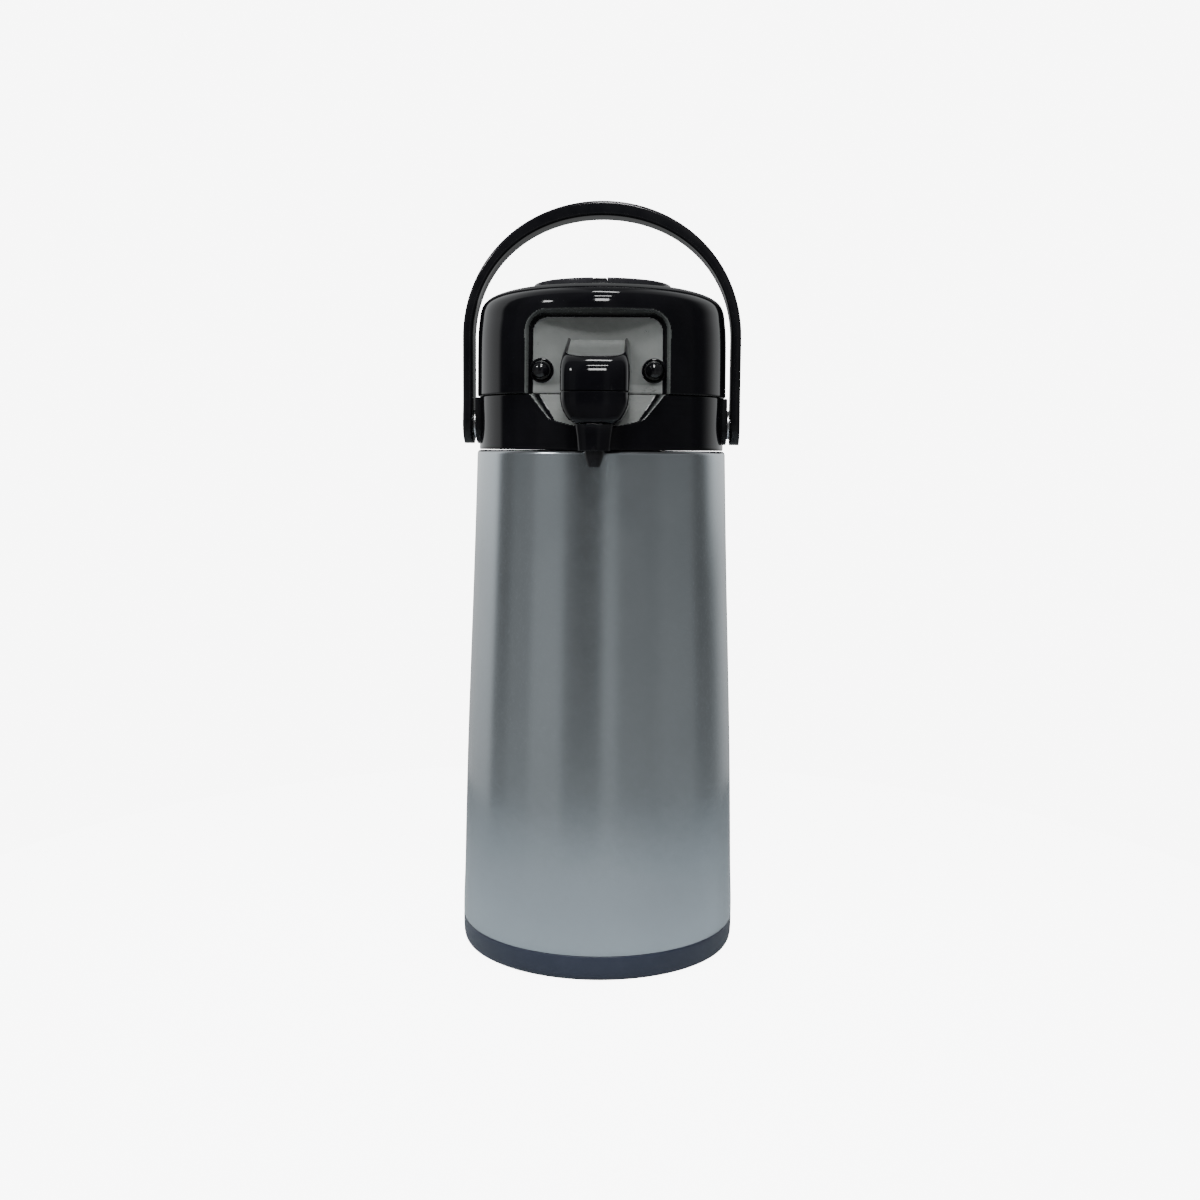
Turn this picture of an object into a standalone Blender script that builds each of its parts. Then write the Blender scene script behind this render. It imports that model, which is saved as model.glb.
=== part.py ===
"""Push-button coffee airpot with a glass vacuum liner, a hinged pump lid and a bail handle.

Frame: origin on the body's axis at the underside of the base, +Z up, the spout points to -Y.
All driving dimensions are in millimetres and are turned into metres by MM.
"""

import math

import bmesh
import bpy
from mathutils import Matrix, Vector

MM = 0.001

# ---------------------------------------------------------------- driving dimensions (mm)
GAP = 0.3                    # air between touching pieces
SEG_OUT = 40                 # facets round the big outer shells
SEG_IN = 24                  # facets round the inner pieces
SEG_FINE = 16                # facets round small turned pieces

BAND_TOP = 14.1              # top edge of the base band
SHELL_BOTTOM = 14.4
SHELL_TOP = 277.0
SHELL_WALL = 0.9
SHELL_RADII = ((14.4, 76.6), (24.0, 76.5), (45.0, 75.8), (68.0, 75.3), (114.0, 74.1), (159.0, 72.5),
               (204.0, 70.8), (249.0, 69.3), (274.6, 68.55), (276.3, 68.2))
COLLAR_BOTTOM = 277.3
COLLAR_R = 67.3
COLLAR_WALL = 3.0
COLLAR_TOP = 305.85
LID_BOTTOM = 306.2
LID_RADII = ((306.2, 68.4), (339.0, 68.0), (346.0, 67.4), (351.5, 66.6), (354.9, 65.3), (357.3, 63.2),
             (359.4, 59.9), (361.0, 55.8), (362.4, 50.8), (363.4, 45.9), (364.2, 40.6))
LID_WALL = 2.5
WELL_R = 38.2                # bore that guides the press button
BUTTON_R = 37.4
BUTTON_RIM = 365.0
BUTTON_TOP = 369.2
BUTTON_TRAVEL = 20.0

RECESS_HALF = 39.0           # half width of the front recess
RECESS_TOP = 350.2
RECESS_Y = 53.6              # distance of the recess floor in front of the axis
NOSE_FRONT = 98.4
NOZZLE_Y = -88.6

PIVOT_Z = 291.5              # handle pivot
EAR_X = 69.0
ARM_IN = 70.7
ARM_OUT = 76.1
ARCH_Z = 338.0               # centre of the handle's arch
ARCH_TOP = 411.2
ARM_HALF = 10.0              # half width of the strap along Y
PAD_R = 11.0

HINGE_Y = 72.6
HINGE_Z = 308.0
KNUCKLE_R = 3.4
PIN_R = 1.5

RELEASE_X = 29.0
RELEASE_Z = 318.0
RELEASE_PROUD = 2.3          # straight rim of each release button in front of the recess floor


# ---------------------------------------------------------------- helpers
def clear_scene():
    for obj in list(bpy.data.objects):
        bpy.data.objects.remove(obj, do_unlink=True)
    for mesh in list(bpy.data.meshes):
        bpy.data.meshes.remove(mesh)


def material(name, color, rough, metal=0.0, alpha=1.0):
    mat = bpy.data.materials.get(name)
    if mat:
        return mat
    mat = bpy.data.materials.new(name)
    mat.use_nodes = True
    shader = mat.node_tree.nodes["Principled BSDF"]
    shader.inputs["Base Color"].default_value = (*color, 1.0)
    shader.inputs["Roughness"].default_value = rough
    shader.inputs["Metallic"].default_value = metal
    shader.inputs["Alpha"].default_value = alpha
    mat.diffuse_color = (*color, alpha)
    return mat


def finish_mesh(bm, name, mat=None, smooth=True):
    """Turns a bmesh, in metres, into a named object with outward faces."""
    bmesh.ops.recalc_face_normals(bm, faces=bm.faces[:])
    mesh = bpy.data.meshes.new(name)
    bm.to_mesh(mesh)
    bm.free()
    obj = bpy.data.objects.new(name, mesh)
    bpy.context.scene.collection.objects.link(obj)
    if mat:
        mesh.materials.append(mat)
    if smooth:
        mesh.shade_smooth()
        mesh.set_sharp_from_angle(angle=math.radians(35))
    return obj


def turned(name, outline, seg, mat=None, centre=(0.0, 0.0)):
    """A solid turned about a vertical axis from (radius, height) pairs in mm.

    The outline is a closed loop, or an open line whose two ends lie on the axis.
    """
    bm = bmesh.new()
    verts = [bm.verts.new((r * MM, 0.0, z * MM)) for r, z in outline]
    on_axis = outline[0][0] == 0.0 and outline[-1][0] == 0.0
    edges = [bm.edges.new((verts[i], verts[i + 1])) for i in range(len(verts) - 1)]
    if not on_axis:
        edges.append(bm.edges.new((verts[-1], verts[0])))
    bmesh.ops.spin(bm, geom=verts + edges, cent=(0, 0, 0), axis=(0, 0, 1), angle=2 * math.pi, steps=seg,
                   use_duplicate=False)
    bmesh.ops.remove_doubles(bm, verts=bm.verts[:], dist=1e-6)
    bmesh.ops.translate(bm, verts=bm.verts[:], vec=(centre[0] * MM, centre[1] * MM, 0.0))
    return finish_mesh(bm, name, mat)


def block(name, low, high, mat=None, bevel=0.0, segments=1):
    """A box between two corners in mm, with its edges rounded off."""
    bm = bmesh.new()
    size = [(h - l) * MM for l, h in zip(low, high)]
    mid = [(h + l) * MM / 2 for l, h in zip(low, high)]
    bmesh.ops.create_cube(bm, size=1.0, matrix=Matrix.Translation(mid) @ Matrix.Diagonal((*size, 1.0)))
    if bevel:
        bmesh.ops.bevel(bm, geom=bm.edges[:], offset=bevel * MM, segments=segments, affect="EDGES", profile=0.5)
    return finish_mesh(bm, name, mat)


def rod(name, start, end, r_start, r_end=None, seg=16, mat=None):
    """A round rod or cone between two points in mm."""
    a, b = Vector(start) * MM, Vector(end) * MM
    r_end = r_start if r_end is None else r_end
    along = b - a
    turn = along.to_track_quat("Z", "Y").to_matrix().to_4x4()
    bm = bmesh.new()
    bmesh.ops.create_cone(bm, cap_ends=True, segments=seg, radius1=r_start * MM, radius2=r_end * MM,
                          depth=along.length, matrix=Matrix.Translation((a + b) / 2) @ turn)
    return finish_mesh(bm, name, mat)


def prism(name, outline, axis, low, high, mat=None):
    """A closed outline in mm, pushed along one axis: 'X' takes (y, z) pairs, 'Y' (x, z), 'Z' (x, y)."""
    place = {"X": lambda a, b, t: (t, a, b), "Y": lambda a, b, t: (a, t, b), "Z": lambda a, b, t: (a, b, t)}[axis]
    bm = bmesh.new()
    base = [bm.verts.new([c * MM for c in place(a, b, low)]) for a, b in outline]
    face = bm.faces.new(base)
    made = bmesh.ops.extrude_face_region(bm, geom=[face])
    moved = [g for g in made["geom"] if isinstance(g, bmesh.types.BMVert)]
    bmesh.ops.translate(bm, verts=moved, vec=[c * MM for c in place(0.0, 0.0, high - low)])
    return finish_mesh(bm, name, mat)


def loft(name, rings, mat=None):
    """A solid through closed rings of equal point count, in mm, capped at both ends."""
    bm = bmesh.new()
    rows = [[bm.verts.new([c * MM for c in p]) for p in ring] for ring in rings]
    n = len(rows[0])
    for a, b in zip(rows, rows[1:]):
        for i in range(n):
            bm.faces.new((a[i], a[(i + 1) % n], b[(i + 1) % n], b[i]))
    bm.faces.new(rows[0][::-1])
    bm.faces.new(rows[-1])
    return finish_mesh(bm, name, mat)


def pipe(name, path, r_out, r_in, seg=14, mat=None):
    """A hollow tube along points in mm that lie in the plane x = const; r_in = 0 makes a solid wire."""
    points = [Vector(p) for p in path]
    bm = bmesh.new()
    outer, inner = [], []
    side = None
    for i, p in enumerate(points):
        t = (points[min(i + 1, len(points) - 1)] - points[max(i - 1, 0)]).normalized()
        if side is None:
            side = t.orthogonal().normalized()
        side = (side - t * side.dot(t)).normalized()
        up = t.cross(side)
        for store, r in ((outer, r_out), (inner, r_in)):
            store.append([bm.verts.new((p + (side * math.cos(a) + up * math.sin(a)) * r) * MM)
                          for a in (2 * math.pi * k / seg for k in range(seg))] if r else None)
    for store in ([outer, inner] if r_in else [outer]):
        for a, b in zip(store, store[1:]):
            for k in range(seg):
                bm.faces.new((a[k], a[(k + 1) % seg], b[(k + 1) % seg], b[k]))
    for end in (0, -1):
        if r_in:
            for k in range(seg):
                bm.faces.new((outer[end][k], outer[end][(k + 1) % seg], inner[end][(k + 1) % seg], inner[end][k]))
        else:
            bm.faces.new(outer[end])
    return finish_mesh(bm, name, mat)


def boolean(obj, tool, operation):
    """Joins, cuts or keeps the common part of two meshes, then drops the tool."""
    tool.hide_render = True
    tool.display_type = "WIRE"
    mod = obj.modifiers.new(operation.lower(), "BOOLEAN")
    mod.operation, mod.object, mod.solver = operation, tool, "EXACT"
    graph = bpy.context.evaluated_depsgraph_get()
    mesh = bpy.data.meshes.new_from_object(obj.evaluated_get(graph))
    obj.modifiers.clear()
    old = obj.data
    mats = [m for m in old.materials]
    obj.data = mesh
    bpy.data.meshes.remove(old)
    mesh.name = obj.name
    bm = bmesh.new()
    bm.from_mesh(mesh)
    bmesh.ops.remove_doubles(bm, verts=bm.verts[:], dist=2e-6)
    bmesh.ops.dissolve_degenerate(bm, edges=bm.edges[:], dist=1e-6)
    bm.to_mesh(mesh)
    bm.free()
    mesh.materials.clear()
    for m in mats:
        mesh.materials.append(m)
    mesh.shade_smooth()
    mesh.set_sharp_from_angle(angle=math.radians(35))
    data = tool.data
    bpy.data.objects.remove(tool, do_unlink=True)
    bpy.data.meshes.remove(data)
    return obj


def cut(obj, *tools):
    for tool in tools:
        boolean(obj, tool, "DIFFERENCE")
    return obj


def join(obj, *tools):
    for tool in tools:
        boolean(obj, tool, "UNION")
    return obj


def group_on(name, at, members, parent=None):
    """An empty on a joint's axis that carries the pieces which move with it."""
    empty = bpy.data.objects.new(name, None)
    bpy.context.scene.collection.objects.link(empty)
    place = Matrix.Translation(Vector(at) * MM)
    empty.matrix_world = place
    if parent:
        empty.parent = parent
        empty.matrix_parent_inverse = parent.matrix_world.inverted()
    for obj in members:
        obj.parent = empty
        obj.matrix_parent_inverse = place.inverted()
    return empty


def arc(cx, cz, r, a0, a1, n):
    """Points on a circle from angle a0 to a1 in degrees."""
    return [(cx + r * math.cos(math.radians(a0 + (a1 - a0) * i / n)),
             cz + r * math.sin(math.radians(a0 + (a1 - a0) * i / n))) for i in range(n + 1)]


# ---------------------------------------------------------------- shapes shared by several pieces
def recess_tool(name, back=0.0, grow=0.0):
    """The space taken out of the head's front: flat floor above, sweeping out to the collar's foot below.

    back moves the floor towards the axis, grow widens the space: that gives the wall behind the recess.
    """
    half = RECESS_HALF + grow
    top = RECESS_TOP + grow
    r = 11.0 + grow * 0.5
    outline = [(-half, 270.0), (half, 270.0)]
    outline += arc(half - r, top - r, r, 0, 90, 6)
    outline += arc(-half + r, top - r, r, 90, 180, 6)
    floor = -RECESS_Y + back
    side = [(-130.0, 268.0), (-69.5 + back, 268.0), (-69.5 + back, 286.5), (-66.0 + back, 289.6),
            (-62.2 + back, 293.2), (-58.8 + back, 297.4), (-56.2 + back, 302.0), (-54.6 + back, 306.5),
            (-53.8 + back, 311.0), (floor, 316.0), (floor, top - 5.0), (floor - 1.2, top - 1.5),
            (floor - 4.0, top + 6.0), (-130.0, top + 6.0)]
    tool = prism(name, outline, "Y", -130.0, -30.0)
    return boolean(tool, prism(name + "_side", side, "X", -90.0, 90.0), "INTERSECT")


def d_ring(half, front, back, z, tip=0.62, n=6):
    """A horizontal ring: straight sides from the back, then a rounded front. z may be a function of y."""
    height = z if callable(z) else (lambda y: z)
    straight = front + half * tip * 1.5
    points = [(half, back), (half, straight)]
    for i in range(1, n):
        a = math.pi / 2 * i / n
        points.append((half * math.cos(a) ** tip, straight + (front - straight) * math.sin(a) ** tip))
    points.append((0.0, front))
    points += [(-x, y) for x, y in reversed(points[:-1])]
    return [(x, y, height(y)) for x, y in points]


def head_turned(name, shrink, low, seg=SEG_OUT):
    """The lid's outer form, solid, shrunk by the wall thickness for its inside."""
    line = [(0.0, low)]
    prev = None
    for z, r in LID_RADII:
        line.append((r - shrink, (low if prev is None else z - shrink * (0.0 if z < 350 else (z - 350) / 12.0 if z < 362 else 1.0))))
        prev = z
    line.append((0.0, LID_RADII[-1][0] - shrink + 0.4))
    return turned(name, line, seg)


clear_scene()

HEAD = material("head_black", (0.010, 0.010, 0.012), 0.08)
HANDLE = material("handle_black", (0.012, 0.012, 0.013), 0.25)
BUTTON = material("button_black", (0.014, 0.014, 0.016), 0.30)
SHELL = material("shell_grey", (0.24, 0.25, 0.26), 0.38, 0.85)
BASE = material("base_dark", (0.030, 0.036, 0.050), 0.45)
INNER = material("inner_plastic", (0.030, 0.030, 0.032), 0.40)
RUBBER = material("rubber", (0.02, 0.02, 0.02), 0.75)
SILICONE = material("silicone", (0.62, 0.62, 0.58), 0.55)
GLASS = material("silvered_glass", (0.75, 0.77, 0.80), 0.06, 0.9)
STEEL = material("steel", (0.60, 0.60, 0.60), 0.22, 1.0)
TUBE = material("tube_plastic", (0.70, 0.70, 0.68), 0.30)


# ---------------------------------------------------------------- base
foot_ring = turned("foot_ring", [(66.2, 0.0), (72.2, 0.0), (72.2, 2.3), (66.2, 2.3)], SEG_IN, RUBBER)
base_cap = turned("base_cap", [
    (73.6, 0.5), (75.3, 2.2), (76.4, 5.4), (76.6, BAND_TOP), (75.2, BAND_TOP), (74.9, 24.0),
    (72.6, 24.0), (72.8, 6.2), (31.5, 6.2), (31.5, 12.0), (25.6, 12.0), (25.6, 3.6), (28.3, 3.6), (28.3, 0.8),
    (65.9, 2.6), (72.5, 2.6), (72.5, 0.5)], SEG_OUT, BASE)
base_plug = turned("base_plug", [(0.0, 0.0), (28.0, 0.0), (28.0, 3.3), (25.3, 3.3), (25.3, 13.0), (21.5, 13.0),
                                 (21.5, 8.0), (0.0, 8.0)], SEG_IN, BASE)
cut(base_plug, rod("slot_a", (18, 0, -1), (18, 0, 5), 2.6), rod("slot_b", (-18, 0, -1), (-18, 0, 5), 2.6))
liner_cushion = turned("liner_cushion", [(7.0, 8.3), (21.2, 8.3), (21.2, 16.4), (7.0, 15.2)], SEG_FINE, RUBBER)

# ---------------------------------------------------------------- body shell and vacuum liner
shell_line = [(r, z) for z, r in SHELL_RADII] + [(67.2, SHELL_TOP), (61.0, SHELL_TOP), (61.0, SHELL_TOP - SHELL_WALL),
                                                 (66.9, SHELL_TOP - SHELL_WALL)]
shell_line += [(r - SHELL_WALL - (0.35 if z < 30 else 0.0), z) for z, r in reversed(SHELL_RADII[:-1])
               if z in (14.4, 45.0, 159.0, 274.6)]
body_shell = turned("body_shell", shell_line, SEG_OUT, SHELL)

liner_outer = turned("liner_outer", [
    (0.0, 16.8), (30.0, 17.6), (52.0, 23.6), (63.0, 44.0), (63.0, 232.0), (57.0, 249.0),
    (40.0, 261.5), (28.6, 268.0), (28.3, 279.0), (26.9, 279.0), (27.1, 266.9), (39.0, 260.0),
    (55.6, 248.0), (61.4, 231.8), (61.4, 44.2), (50.9, 25.0), (29.6, 19.2), (0.0, 18.4)], SEG_IN, GLASS)
liner_inner = turned("liner_inner", [
    (0.0, 23.4), (28.0, 24.2), (48.0, 29.6), (58.5, 48.0), (58.5, 231.0), (52.6, 245.0),
    (37.0, 256.4), (25.0, 264.0), (24.8, 279.3), (28.3, 279.3), (28.3, 281.5),
    (22.7, 281.5), (22.9, 262.8), (35.8, 254.6), (51.0, 243.8), (56.8, 230.6),
    (56.8, 48.3), (46.9, 31.2), (27.8, 26.0), (0.0, 25.2)], SEG_IN, GLASS)
liner_gasket = turned("liner_gasket", [(23.6, 281.8), (29.0, 281.8), (29.0, 283.7), (23.6, 283.7)], SEG_IN, SILICONE)

# ---------------------------------------------------------------- collar with the lower beak
collar = turned("collar", [(0.0, COLLAR_BOTTOM), (COLLAR_R, COLLAR_BOTTOM), (COLLAR_R, COLLAR_TOP),
                           (0.0, COLLAR_TOP)], SEG_OUT, HEAD)
for side in (-1, 1):
    ear = [(-PAD_R, COLLAR_TOP), (-PAD_R, PIVOT_Z)] + arc(0.0, PIVOT_Z, PAD_R, 180, 360, 10)[1:] + [(PAD_R, COLLAR_TOP)]
    join(collar, prism("ear", ear, "X", min(side * 60.0, side * EAR_X), max(side * 60.0, side * EAR_X)))
cut(collar, recess_tool("recess"))
beak = loft("beak", [d_ring(10.6, -95.6, -53.4, 290.3), d_ring(13.6, -97.2, -53.4, 293.6),
                     d_ring(16.2, -98.1, -53.4, 298.6), d_ring(17.2, NOSE_FRONT * -1.0, -53.4, COLLAR_TOP)])
join(collar, beak)
void = turned("void", [(0.0, COLLAR_BOTTOM - 5.0), (61.0, COLLAR_BOTTOM - 5.0), (61.0, 279.9), (64.3, 282.9),
                       (64.3, COLLAR_TOP + 5.0), (0.0, COLLAR_TOP + 5.0)], SEG_OUT)
cut(void, recess_tool("recess_wall", back=2.8, grow=3.0))
floor_plate = turned("floor_plate", [(33.0, 284.4), (68.0, 284.4), (68.0, 287.4), (33.0, 287.4)], SEG_OUT)
cut(void, floor_plate)
cut(collar, void)
cut(collar, loft("beak_void", [d_ring(8.6, -93.2, -62.6, 288.0), d_ring(8.6, -93.2, -62.6, 291.0),
                               d_ring(11.6, -95.0, -62.0, 294.2), d_ring(14.0, -95.9, -60.5, 299.0),
                               d_ring(15.0, -96.2, -59.6, COLLAR_TOP + 4.0)]))
cut(collar, rod("pipe_hole", (0, -75.0, 297.0), (0, -45.0, 297.0), 5.0, seg=20))
for side in (-1, 1):
    cut(collar, rod("pin_hole", (side * 55.0, 0, PIVOT_Z), (side * 75.0, 0, PIVOT_Z), 2.9, seg=16))
    low, high = sorted((side * 9.3, side * 17.3))
    bracket = [(62.0, 296.0), (66.5, 292.0), (69.5, 292.0), (HINGE_Y + KNUCKLE_R, 302.0)]
    bracket += arc(HINGE_Y, HINGE_Z, KNUCKLE_R, 0, 180, 8)
    bracket += [(HINGE_Y - KNUCKLE_R, 305.6), (62.0, 305.6)]
    join(collar, prism("bracket", bracket, "X", low, high))
cut(collar, rod("hinge_bore", (-25, HINGE_Y, HINGE_Z), (25, HINGE_Y, HINGE_Z), PIN_R + GAP, seg=16))

catch_plates = []
for side, word in ((-1, "left"), (1, "right")):
    catch_plates.append(block("catch_plate_" + word, (side * RELEASE_X - 3.5, -50.5, 288.0),
                              (side * RELEASE_X + 3.5, -49.0, 303.2), STEEL))
    cut(catch_plates[-1], block("window", (side * RELEASE_X - 2.4, -53.0, 295.0),
                                (side * RELEASE_X + 2.4, -47.0, 300.4)))

# ---------------------------------------------------------------- neck ring, tubes and nozzle
neck_ring = turned("neck_ring", [(23.6, 284.0), (32.6, 284.0), (32.6, 287.7), (38.0, 287.7), (38.0, 290.2),
                                 (27.0, 290.2), (27.0, 302.0), (23.6, 302.0)], SEG_IN, INNER)
cut(neck_ring, rod("port", (0, -40.0, 297.0), (0, -10.0, 297.0), 5.0, seg=20))
tube_holder = turned("tube_holder", [(19.9, 284.4), (23.2, 284.4), (23.2, 290.6), (19.9, 290.6)], SEG_IN, INNER)
join(tube_holder, block("arm", (-4.0, -21.5, 285.0), (4.0, 0.0, 290.0)),
     rod("boss", (0, 0, 284.0), (0, 0, 290.6), 6.6, seg=24))
cut(tube_holder, rod("tube_hole", (0, 0, 280.0), (0, 0, 294.0), 4.3, seg=20))
dip_tube = pipe("dip_tube", [(0, 0, 28.0), (0, 0, 160.0), (0, 0, 288.4)], 4.0, 3.0, 16, TUBE)
pipe_path = [(0, 0, 288.8), (0, 0, 291.0)]
pipe_path += [(0, y, z) for y, z in ((-6.0 + 6.0 * math.cos(math.radians(a)), 291.0 + 6.0 * math.sin(math.radians(a)))
                                     for a in (22.5, 45, 67.5, 90))]
pipe_path += [(0, -45.0, 297.0)]
pipe_path += [(0, NOZZLE_Y + 7.0 - 7.0 * math.sin(math.radians(a)), 290.0 + 7.0 * math.cos(math.radians(a)))
              for a in (0, 22.5, 45, 67.5, 90)]
pipe_path += [(0, NOZZLE_Y, 279.4)]
delivery_pipe = pipe("delivery_pipe", pipe_path, 4.0, 2.9, 12, TUBE)


def oval(half_x, half_y, z, n=20):
    return [(half_x * math.copysign(abs(math.cos(a)) ** 0.75, math.cos(a)),
             NOZZLE_Y + half_y * math.copysign(abs(math.sin(a)) ** 0.75, math.sin(a)), z)
            for a in (2 * math.pi * k / n for k in range(n))]


nozzle_guard = loft("nozzle_guard", [oval(7.9, 6.4, 277.0), oval(8.6, 6.7, 284.0), oval(9.5, 7.0, 290.0)], HEAD)
cut(nozzle_guard, loft("guard_bore", [oval(6.3, 5.3, 275.0), oval(6.3, 5.3, 280.0), oval(7.7, 5.6, 293.0)]))
spout_tip = turned("spout_tip", [(5.0, 278.6), (4.9, 275.5), (4.0, 272.0), (2.9, 269.0), (2.1, 269.0), (2.6, 273.0),
                                 (3.2, 276.0), (3.2, 278.6)], SEG_FINE, INNER, centre=(0.0, NOZZLE_Y))

# ---------------------------------------------------------------- handle pivots
handle_pins, pivot_bushes = [], []
for side, word in ((-1, "left"), (1, "right")):
    pin = rod("handle_pin_" + word, (side * 62.0, 0, PIVOT_Z), (side * 74.6, 0, PIVOT_Z), 2.6, seg=16, mat=STEEL)
    join(pin, rod("head", (side * 74.1, 0, PIVOT_Z), (side * 75.6, 0, PIVOT_Z), 5.4, seg=20))
    handle_pins.append(pin)
    bush = rod("pivot_bush_" + word, (side * 69.3, 0, PIVOT_Z), (side * 70.4, 0, PIVOT_Z), 7.8, seg=28, mat=INNER)
    join(bush, rod("sleeve", (side * 70.0, 0, PIVOT_Z), (side * 73.7, 0, PIVOT_Z), 4.4, seg=24))
    cut(bush, rod("bore", (side * 66.0, 0, PIVOT_Z), (side * 78.0, 0, PIVOT_Z), 2.9, seg=16))
    pivot_bushes.append(bush)

# ---------------------------------------------------------------- bail handle
def arch(r_leg, r_top, lowest, n):
    """Half outline of the arch: a straight leg, then a half circle that may be a little flatter on top."""
    line = [(-r_leg, lowest), (-r_leg, ARCH_Z)]
    for i in range(1, 2 * n):
        a = math.pi * i / (2 * n)
        r = r_leg + (r_top - r_leg) * math.sin(a) ** 3
        line.append((-r * math.cos(a), ARCH_Z + r * math.sin(a)))
    return line + [(r_leg, ARCH_Z), (r_leg, lowest)]


outer = arch(ARM_OUT, ARCH_TOP - ARCH_Z, PIVOT_Z - PAD_R - 2.0, 11)
inner = arch(ARM_IN, ARCH_TOP - ARCH_Z - 7.8, PIVOT_Z - PAD_R - 2.0, 11)
handle = prism("handle", outer + inner[::-1], "Y", -PAD_R, PAD_R, HANDLE)
side_view = arc(0.0, PIVOT_Z, PAD_R, 150, 390, 16)[0:17]
side_view += [(ARM_HALF - 0.6, PIVOT_Z + 12.0), (ARM_HALF - 0.6, ARCH_TOP + 5.0), (-ARM_HALF + 0.6, ARCH_TOP + 5.0),
              (-ARM_HALF + 0.6, PIVOT_Z + 12.0)]
boolean(handle, prism("width", side_view, "X", -90.0, 90.0), "INTERSECT")
for side in (-1, 1):
    cut(handle, rod("bore", (side * 69.0, 0, PIVOT_Z), (side * 78.0, 0, PIVOT_Z), 4.7, seg=24),
        rod("counterbore", (side * 73.8, 0, PIVOT_Z), (side * 79.0, 0, PIVOT_Z), 5.8, seg=24))

# ---------------------------------------------------------------- lid
lid_cover = head_turned("lid_cover", 0.0, LID_BOTTOM)
lid_cover.data.materials.append(HEAD)
cut(lid_cover, recess_tool("recess_lid"))


def nose_height(z_front, drop):
    """Heights of a sloping ring: at the panel it stands higher than at the front."""
    return lambda y: z_front + (y + NOSE_FRONT - 6.0) / (NOSE_FRONT - 6.0 - 58.0) * drop


nose_rings = [d_ring(17.2, -NOSE_FRONT, -52.0, LID_BOTTOM), d_ring(17.3, -NOSE_FRONT, -52.0, 311.0),
              d_ring(17.3, -97.4, -52.0, nose_height(316.6, 2.0)), d_ring(16.9, -95.6, -52.0, nose_height(319.8, 6.0)),
              d_ring(15.9, -93.0, -52.0, nose_height(321.8, 9.6)), d_ring(14.6, -90.6, -52.0, nose_height(322.5, 10.6))]
join(lid_cover, loft("nose", nose_rings))
lid_void = head_turned("lid_void", LID_WALL, LID_BOTTOM - 6.0)
cut(lid_void, recess_tool("recess_lid_wall", back=2.4, grow=2.4))
well = turned("well", [(WELL_R, 344.0), (WELL_R + 2.2, 344.0), (WELL_R + 2.2, 375.0), (WELL_R, 375.0)], SEG_OUT)
cut(lid_void, well)
for sx in (-1, 1):
    for sy in (-1, 1):
        cut(lid_void, rod("boss", (sx * 35.5, sy * 35.5, 312.4), (sx * 35.5, sy * 35.5, 366.0), 3.6, seg=12))
cut(lid_cover, lid_void)
cut(lid_cover, turned("button_bore", [(0.0, 300.0), (WELL_R, 300.0), (WELL_R, 380.0), (0.0, 380.0)], SEG_OUT))
cut(lid_cover, loft("nose_void", [d_ring(15.0, -96.2, -59.0, LID_BOTTOM - 5.0), d_ring(15.0, -96.0, -59.0, 313.0),
                                  d_ring(14.2, -93.0, -59.0, nose_height(317.8, 6.0)),
                                  d_ring(12.6, -90.0, -59.0, nose_height(319.6, 8.0))]))
for sx in (-1, 1):
    for sy in (-1, 1):
        cut(lid_cover, rod("screw_hole", (sx * 35.5, sy * 35.5, 310.0), (sx * 35.5, sy * 35.5, 320.0), 1.7, seg=10))
    cut(lid_cover, rod("release_hole", (sx * RELEASE_X, -62.0, RELEASE_Z), (sx * RELEASE_X, -45.0, RELEASE_Z), 5.3, seg=16))
web = [(66.6, 306.3), (HINGE_Y - 1.0, 306.3)] + arc(HINGE_Y, HINGE_Z, KNUCKLE_R, -100, 120, 10) + [(66.6, 313.5)]
join(lid_cover, prism("web", web, "X", -9.0, 9.0))
cut(lid_cover, rod("lid_bore", (-12, HINGE_Y, HINGE_Z), (12, HINGE_Y, HINGE_Z), PIN_R + GAP, seg=16))
lid_hinge_pin = rod("lid_hinge_pin", (-17.8, HINGE_Y, HINGE_Z), (17.8, HINGE_Y, HINGE_Z), PIN_R, seg=16, mat=STEEL)

lid_base = turned("lid_base", [(4.0, 309.0), (63.0, 309.0), (63.0, 312.0), (4.0, 312.0)], SEG_IN, INNER)
cut(lid_base, block("flat", (-50.0, -80.0, 300.0), (50.0, -50.8, 320.0)))
for sx in (-1, 1):
    cut(lid_base, block("latch_slot", (sx * RELEASE_X - 4.2, -60.0, 300.0), (sx * RELEASE_X + 4.2, -39.5, 320.0)))
    for sy in (-1, 1):
        cut(lid_base, rod("screw_hole", (sx * 35.5, sy * 35.5, 300.0), (sx * 35.5, sy * 35.5, 320.0), 1.7, seg=10))
lid_seal = turned("lid_seal", [(19.6, 302.9), (22.0, 302.3), (28.5, 302.3), (30.5, 303.4), (30.5, 308.7), (19.6, 308.7)],
                  SEG_IN, SILICONE)
exhaust_valve = turned("exhaust_valve", [(0.0, 306.6), (6.2, 306.6), (6.2, 308.7), (2.8, 308.7), (2.8, 313.4), (5.2, 313.4),
                                         (5.2, 314.8), (0.0, 314.8)][::-1], SEG_FINE, SILICONE)
lid_screws = []
for i, (sx, sy) in enumerate(((1, 1), (-1, 1), (-1, -1), (1, -1))):
    screw = rod("lid_screw_%d" % (i + 1), (sx * 35.5, sy * 35.5, 306.6), (sx * 35.5, sy * 35.5, 308.7), 3.0, seg=12,
                mat=STEEL)
    join(screw, rod("shank", (sx * 35.5, sy * 35.5, 308.0), (sx * 35.5, sy * 35.5, 318.0), 1.35, seg=10))
    lid_screws.append(screw)

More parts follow.
